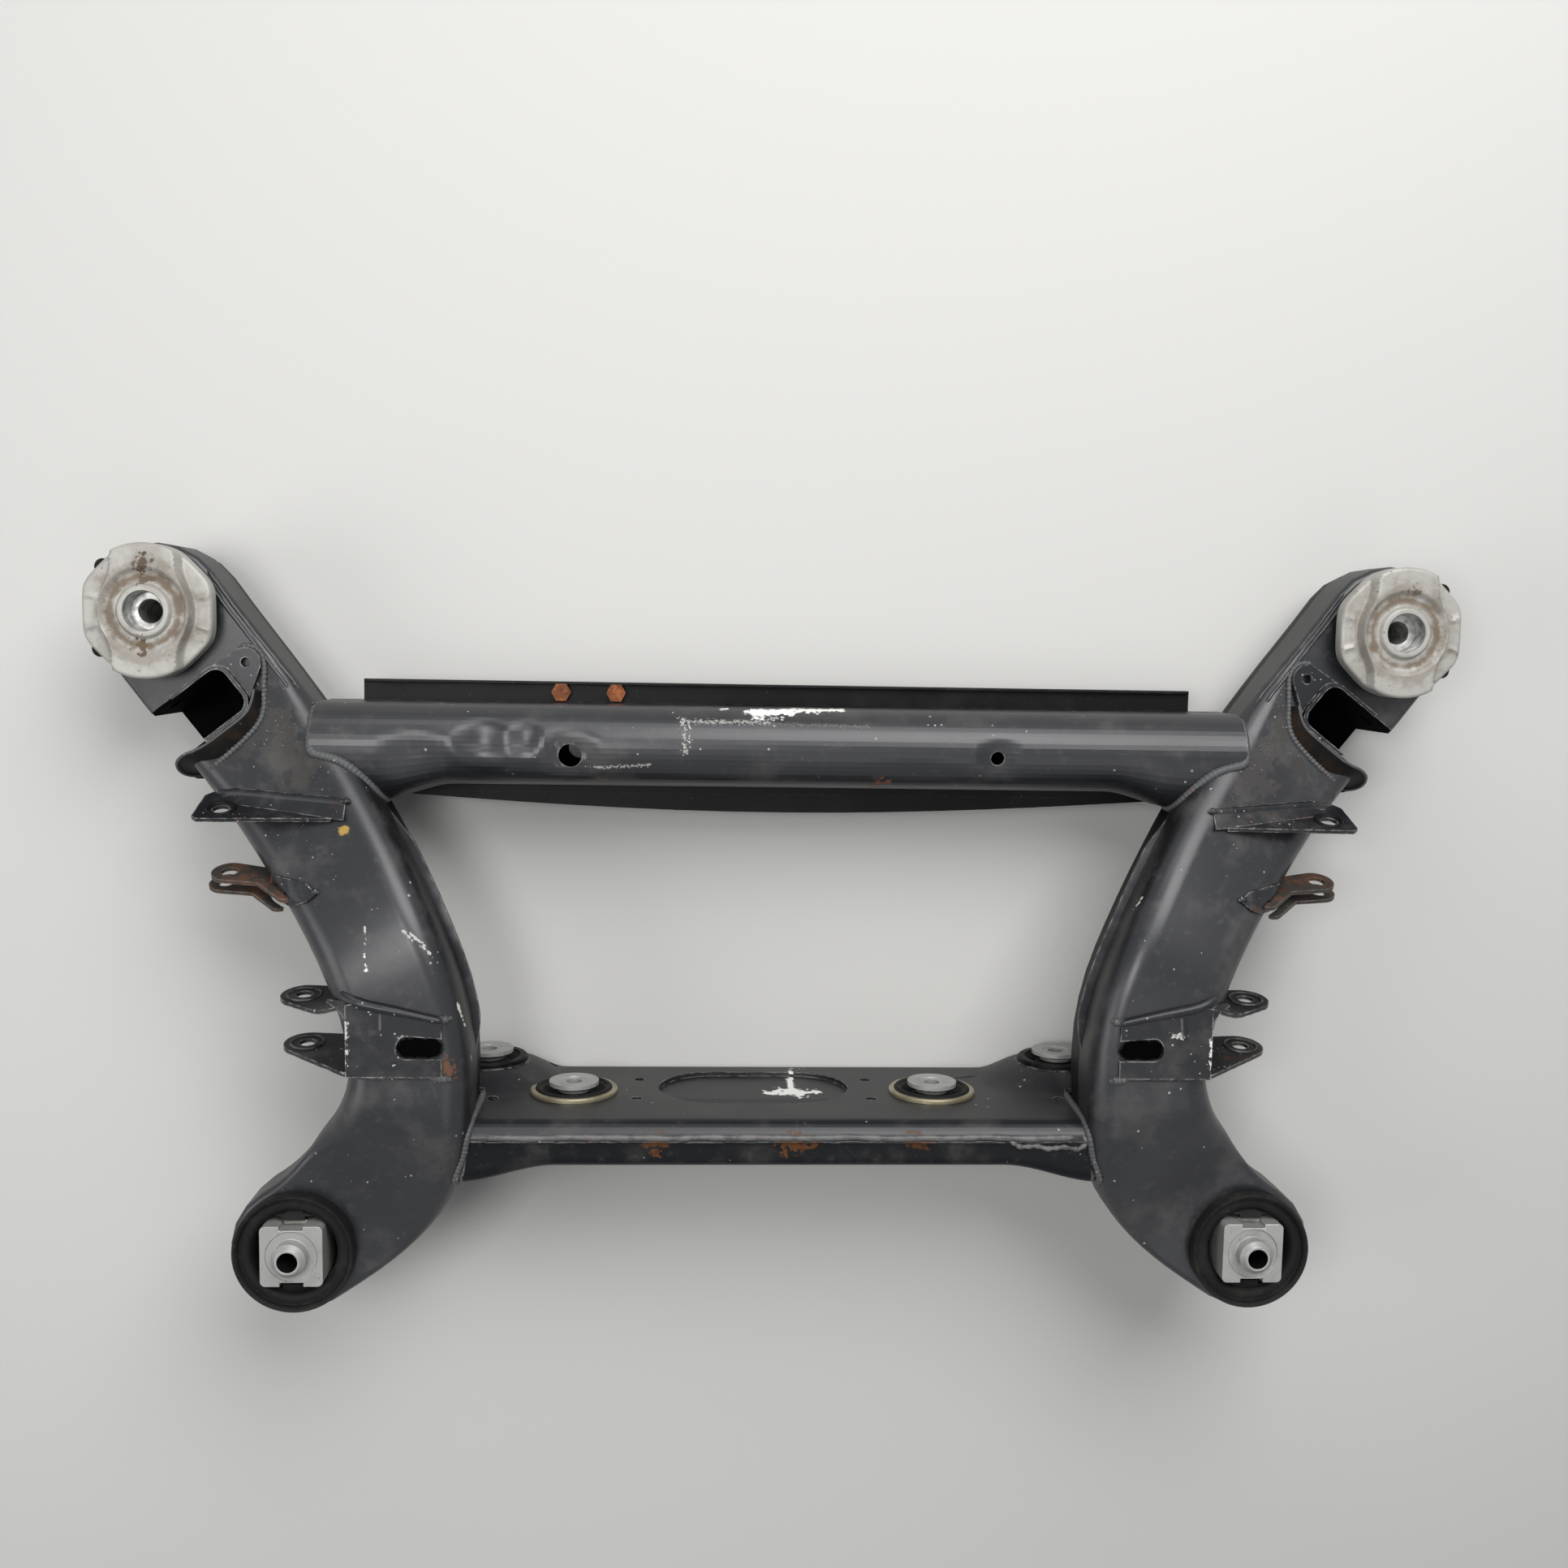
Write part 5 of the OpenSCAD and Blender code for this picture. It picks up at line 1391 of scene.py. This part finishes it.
def shellSeam(side, s):  # lower edge of the upper shell along its inner wall
    line = []
    for y in range(*innerLip["span"], 5):
        hits = [sideHit(memberTop[side], (s * 150, y, z), (s, 0, 0)) for z in range(150, 70, -1)]
        hits = [h for h in hits if h is not None]
        wall = min(abs(h.x) for h in hits)
        low = min(h.z for h in hits if abs(h.x) < wall + 3)
        line.append(Vector((s * (wall + 0.6), y, low + 2.0)))
    return line


forkTrim = {
    "ridge": ((240, -53.5, 174.4), (252, -50.8, 174.2), (271, -46.8, 173.8), (285, -44.2, 173.4),
              (298, -41.6, 172.6), (306, -38.6, 170.5), (313, -35.0, 166.0)),
    "ridgeRadius": 2.3,
    "ridgeGrow": 1.1,
    "blobs": (((235, -52), (241, -53), (247, -53)), ((235, -96), (242, -95), (249, -95))),
    "blobRadius": 3.0,
    "lowEdge": ((303, -94.5), (275, -94.5), (243, -94.5)),
    "edgeRadius": 1.3,
    "corner": (((307, -60, 174.2), (307, -41, 174.2), (312, -39.5, 171), (323, -40.5, 163.5)),
               ((307.6, -61, 174.2), (309, -53, 173.8), (312.5, -47, 171.5), (324, -42.6, 163.0))),
    "cornerThick": 2.4,
    "eyes": ((347.3, -44.8, 129.6), (347.3, -82.2, 123.0)),
    "tilt": 10.0,
    "ring": 11.8,
    "ringRadius": 1.1,
}
wing = {                         # curved lower wall of the channel bracket
    "rim": ((387.5, 175, 103.6), (389.5, 164, 104.6), (393.6, 156, 105.2), (409, 144, 105.2),
            (422, 134, 104.2), (432, 129, 101), (442, 125.5, 96), (449.5, 119.5, 89), (450.5, 112, 80),
            (446, 107.5, 70), (438, 107, 60)),
    "rimRadius": 1.1,
    "foot": ((382.5, 173), (381.5, 160), (385, 149), (398, 135), (411, 123.5), (420, 116.5), (427, 112),
             (431, 109.5), (433, 108), (434, 107), (435, 106)),
    "bulge": 2.5,
    "thick": 2.2,
    "nose": ((401, 204.5), (396, 206.3), (389, 205), (384.5, 200.5), (382.3, 193), (382.0, 184)),
    "noseLevel": 96.0,           # where no member lies below
    "weldRadius": 2.1,
}


def makeForkTrim(side, s):
    def seated(points, lift):
        spots = evenly([Vector((s * x, y, 0)) for x, y in points], 3.0)
        heights = [heightAt(memberTop[side], p.x, p.y) for p in spots]
        return [Vector((p.x, p.y, z + lift)) for p, z in zip(spots, heights) if z is not None]

    ridge = softened([mirrored(s, p) for p in forkTrim["ridge"]])
    bead("fork_ridge_" + side, [ridge], forkTrim["ridgeRadius"], "bracket", ripple=0.03, wave=30.0,
         seed=21 + s, grow=forkTrim["ridgeGrow"])
    blobs = [seated(p, 0.8) for p in forkTrim["blobs"]]
    bead("fork_weld_" + side, blobs, forkTrim["blobRadius"], "weld", ripple=0.2, seed=18 + s)
    edge = seated(forkTrim["lowEdge"], 0.6)
    bead("fork_edge_" + side, [edge], forkTrim["edgeRadius"], "bracket", ripple=0.15, seed=19 + s)
    corner = [[mirrored(s, p) for p in row] for row in forkTrim["corner"]]
    strip("fork_corner_" + side, corner, "bracket", forkTrim["cornerThick"], 24)
    rings = [roundRing(mirrored(s, eye), forkTrim["tilt"], forkTrim["ring"]) for eye in forkTrim["eyes"]]
    bead("fork_rings_" + side, rings, forkTrim["ringRadius"], "bracket", ripple=0.0, seed=24 + s,
         closed=True)


def makeTabTrim(side, s):
    _, eyeY, eyeZ = tabTrim["eye"]
    slope = math.tan(math.radians(tabTrim["tilt"]))
    top = tabTrim["foldTop"]
    last = 120.0
    rows = [[] for _ in range(len(tabTrim["fold"]) + 1)]
    for p in evenly([Vector((s * x, y, 0)) for x, y in tabTrim["ridge"]], 4.0):
        found = heightAt(memberTop[side], p.x, p.y)
        last = max(last - 2.2, 101.0) if found is None else found  # past the member it runs on downwards
        fold = [(p.y + y, z) for y, z in tabTrim["fold"]]
        fold.append((eyeY + (eyeZ - last - top) * slope, top))
        for row, (y, z) in zip(rows, fold):
            row.append(Vector((p.x, y, last + z)))
    strip("tab_fold_" + side, rows, "bracket", tabTrim["foldThick"])
    bulb = [rows[2][0] + Vector(mirrored(s, step)) for step in tabTrim["bulb"]]
    bead("tab_bulb_" + side, [bulb], tabTrim["bulbRadius"], "bracket", ripple=0.0, seed=12 + s)
    bead("tab_weld_" + side, tabLines(side, s), tabTrim["weldRadius"], "weld", ripple=0.2, seed=13 + s)
    ring = roundRing(mirrored(s, tabTrim["eye"]), tabTrim["tilt"], tabTrim["ring"])
    bead("tab_ring_" + side, [ring], tabTrim["ringRadius"], "dark", ripple=0.0, seed=14 + s, closed=True)


def makeWing(side, s):
    roof = memberTop[side]
    rim = [Vector(mirrored(s, p)) for p in wing["rim"]]
    foot = []
    for (x, y), top in zip(wing["foot"], rim):
        found = heightAt(roof, s * x, y)
        low = top.z - 22 if found is None else found
        foot.append(Vector((s * x, y, min(top.z - 2, low) - 0.8)))
    middle = []
    for a, b in zip(rim, foot):
        bulge = wing["bulge"] * min(1.0, (a.z - b.z) / 10)
        middle.append(a.lerp(b, 0.55) + Vector((0, 0, bulge)))
    strip("channel_wing_" + side, [rim, middle, foot], "wing", wing["thick"])
    # a pale bead as painted highlight on the channel's rim
    bead("channel_rim_highlight_" + side, [softened(rim)], wing["rimRadius"], "weld", ripple=0.0, seed=16 + s)
    nose = [Vector((s * x, y, heightAt(roof, s * x, y) or wing["noseLevel"])) for x, y in wing["nose"]]
    seam = [p + Vector((0, 0, 0.8)) for p in softened(nose + foot[:7])]
    bead("channel_weld_" + side, [seam], wing["weldRadius"], "weld", ripple=0.2, seed=15 + s)


def makeEdgeSeams(side, s):
    rows = [edgeLine(side, s, *innerEdge["span"], off) for off in innerEdge["offsets"]]
    bead("edge_seam_" + side, rows, innerEdge["radius"], "member", ripple=0.04, step=2.0, wave=60.0,
         seed=27 + s)
    root = shellSeam(side, s)
    tip = []
    for i, spot in enumerate(root):
        along = root[min(i + 1, len(root) - 1)] - root[max(i - 1, 0)]
        away = Vector((-s * along.y, s * along.x, 0)).normalized()
        share = min(1.0, (min(i, len(root) - 1 - i) + 0.5) / 5)  # the lip runs out at its ends
        tip.append(spot + innerLip["reach"] * share * away)
    strip("shell_lip_" + side, [root, tip], "member", innerLip["thick"], 60)


for side, s in sides:
    makeForkTrim(side, s)
    makeTabTrim(side, s)
    makeWing(side, s)
    makeEdgeSeams(side, s)
print("bracket trimmings made")

earExtra = {
    "shift": (5.0, -9.0, -7.0),  # from the ear to the lug behind it
    "size": 0.94,
    "lip": ((378, 35), (370, 27), (360, 22), (350, 23), (340, 27), (333, 33), (340, 39), (355, 42),
            (368, 43)),
    "lipRows": (336, 378, 4),
    "hole": (357, 30, 2.6),
    "thick": 2.4,
    "bulb": ((331, 33.4), (338, 34.0)),
    "bulbRadius": 3.0,
}


def cutPlate(name, outline, hole, thick):  # flat plate from a filled curve, in millimetres
    curve = bpy.data.curves.new(name, "CURVE")
    curve.dimensions = "2D"
    curve.fill_mode = "BOTH"
    curve.extrude = thick * 0.0005
    curve.bevel_depth = 0.0004
    curve.bevel_resolution = 1
    hx, hy, radius = hole
    eye = [(hx + radius * math.cos(a), hy + radius * math.sin(a)) for a in circleAngles(20)]
    for ring in (outline, eye):
        spline = curve.splines.new("POLY")
        spline.points.add(len(ring) - 1)
        for point, (x, y) in zip(spline.points, ring):
            point.co = (x * 0.001, y * 0.001, 0, 1)
        spline.use_cyclic_u = True
    bm = meshOf(curve)
    bmesh.ops.recalc_face_normals(bm, faces=bm.faces)
    return bm


def makeEar(side, s):
    bm = flatten(copyOf("ear_bracket_" + side))
    middle = sum((v.co for v in bm.verts), Vector()) / len(bm.verts)
    bmesh.ops.scale(bm, verts=bm.verts, vec=(earExtra["size"],) * 3, space=Matrix.Translation(-middle))
    bmesh.ops.translate(bm, verts=bm.verts, vec=mm(*mirrored(s, earExtra["shift"])))
    place(bm, "ear_back_lug_" + side, "ear", "rusty_steel", (), **bracketEdge)
    x, y, radius = earExtra["hole"]
    outline = [(s * px, py) for px, py in earExtra["lip"]]
    bm = cutPlate("ear_lip_" + side, outline, (s * x, y, radius), earExtra["thick"])
    cutAcross(bm, 0, [s * k for k in range(*earExtra["lipRows"])])
    for vert in bm.verts:  # the lip lies on the side member and follows it
        px, py = vert.co.x * 1000, vert.co.y * 1000
        z = heightAt(memberTop[side], px, py)
        far = 0.0
        while z is None and far < 40:
            far += 1.0
            z = heightAt(memberTop[side], px - s * far, py)
        vert.co.z += (z - 0.25 * far + 0.9 + 0.7 * math.sin(px * 0.35)) * 0.001
    place(bm, "ear_lip_" + side, "bracket", "paint", (), 40.0)
    tip = [Vector((s * px, py, heightAt(memberTop[side], s * px, py) + 1.0)) for px, py in earExtra["bulb"]]
    bead("ear_bulb_" + side, [tip], earExtra["bulbRadius"], "bracket", ripple=0.0, seed=31 + s)


smallBush = {
    "inner": ((-157.0, 75.0), (121.0, 75.0)),  # left and right, across and up
    "lip": ((24.4, -131.5), (24.8, -129.2), (26.4, -128.2), (28.4, -128.4), (29.4, -129.4), (29.6, -130.6)),
    "lipThick": 0.6,
}


def makeSmallBushLips():
    for (side, _), (cx, cz) in zip(sides, smallBush["inner"]):
        chain = [(cx + r, y, cz) for r, y in smallBush["lip"]]
        spunLip("inner_bush_lip_" + side, chain, (cx, 0, cz), (0, 1, 0), 72, smallBush["lipThick"])


for side, s in sides:
    makeEar(side, s)
makeSmallBushLips()
print("ears and small lips made")

seamLook = {
    "y": -143.5,
    "from": -214.0,
    "to": 216.0,
    "spacing": 3.0,
    "level": 152.0,              # where nothing lies below
    "radius": 2.3,
    "stepBack": 3.6,             # second edge, behind the seam
    "stepRadius": 1.0,
    "drip": ((168, -146), (176, -151), (188, -150), (196, -152.5), (208, -151), (219, -153), (226, -148),
             (222, -142)),
    "dripRadius": 2.0,
}


def makeSealant():
    box = surfaceOf("narrow_crossmember_face", "narrow_crossmember_cover")

    def laid(x, y, lift=0.2):
        z = heightAt(box, x, y)
        return Vector((x, y, (seamLook["level"] if z is None else z) + lift))

    def wander(x, scale, seed):
        return noise.noise(Vector((x * scale, seed, 0.0)))

    run = []
    x = seamLook["from"]
    while x <= seamLook["to"]:
        run.append(laid(x, seamLook["y"] + 1.3 * wander(x, 0.03, 2.0)))
        x += seamLook["spacing"]
    second = [laid(p.x, p.y - seamLook["stepBack"] + 0.8 * wander(p.x, 0.05, 9.0), 0.0) for p in run]
    drip = [laid(*p) for p in seamLook["drip"]]
    bead("sealant_seam", [run], seamLook["radius"], "sealant", ripple=0.10, step=1.2, wave=23.0, seed=5)
    bead("sealant_step", [second], seamLook["stepRadius"], "box", ripple=0.18, step=1.2, wave=17.0, seed=6)
    bead("sealant_drip", [drip], seamLook["dripRadius"], "sealant", ripple=0.2, step=1.0, wave=7.0, seed=8)


makeSealant()

flangeLip = {
    "half": 319.5,
    "y": (179.6, 182.0),
    "z": (44.9, 52.0),
    "edge": 0.7,
    "rows": (-315, 316, 9),      # extra rows of points: from, to, spacing
    "wavy": 0.9,                 # only above the next height
    "wavyAbove": 49.0,
}


def makeFlangeLip():  # turned up edge of the wide end flange, in near-black paint as painted shade
    bm = bmesh.new()
    made = bmesh.ops.create_cube(bm, size=1.0)["verts"]
    (y0, y1), (z0, z1) = flangeLip["y"], flangeLip["z"]
    bmesh.ops.scale(bm, verts=made, vec=mm(2 * flangeLip["half"], y1 - y0, z1 - z0))
    bmesh.ops.translate(bm, verts=made, vec=mm(0, (y0 + y1) / 2, (z0 + z1) / 2))
    bmesh.ops.bevel(bm, geom=bm.edges, offset=flangeLip["edge"] * 0.001, segments=3, profile=0.5,
                    affect="EDGES", material=-1)
    cutAcross(bm, 0, range(*flangeLip["rows"]))
    for vert in bm.verts:
        if vert.co.z * 1000 > flangeLip["wavyAbove"]:
            vert.co.z += flangeLip["wavy"] * 0.001 * noise.noise(vert.co * 14)
    place(bm, "flange_lip", "dark", "paint", (), 40.0)


makeFlangeLip()

spatter = {
    "seed": 11,
    "spots": (                   # x, y, reach, count
        (392, 178, 26, 70),
        (386, 150, 20, 40),
        (352, 146, 20, 40),
        (330, 118, 16, 20),
        (300, -60, 24, 26),
        (345, 60, 30, 24),
    ),
    "size": (0.35, 1.15),
}


def makeSpatter():
    pick = random.Random(spatter["seed"])
    small, large = spatter["size"]
    for side, s in sides:
        bm = bmesh.new()
        for x, y, reach, count in spatter["spots"]:
            for _ in range(count):
                far, angle = reach * math.sqrt(pick.random()), pick.random() * math.tau
                px, py = s * x + far * math.cos(angle), y + far * math.sin(angle)
                size = small + (large - small) * pick.random() ** 3
                z = heightAt(memberTop[side], px, py)
                if z is None:
                    continue
                made = bmesh.ops.create_icosphere(bm, subdivisions=1, radius=size * 0.001)["verts"]
                bmesh.ops.scale(bm, verts=made, vec=(1, 1, 0.7))
                bmesh.ops.translate(bm, verts=made, vec=mm(px, py, z + size * 0.2))
        place(bm, "weld_spatter_" + side, "spatter", "paint", (), 60.0)


makeSpatter()
print("welds, sealant and spatter made")
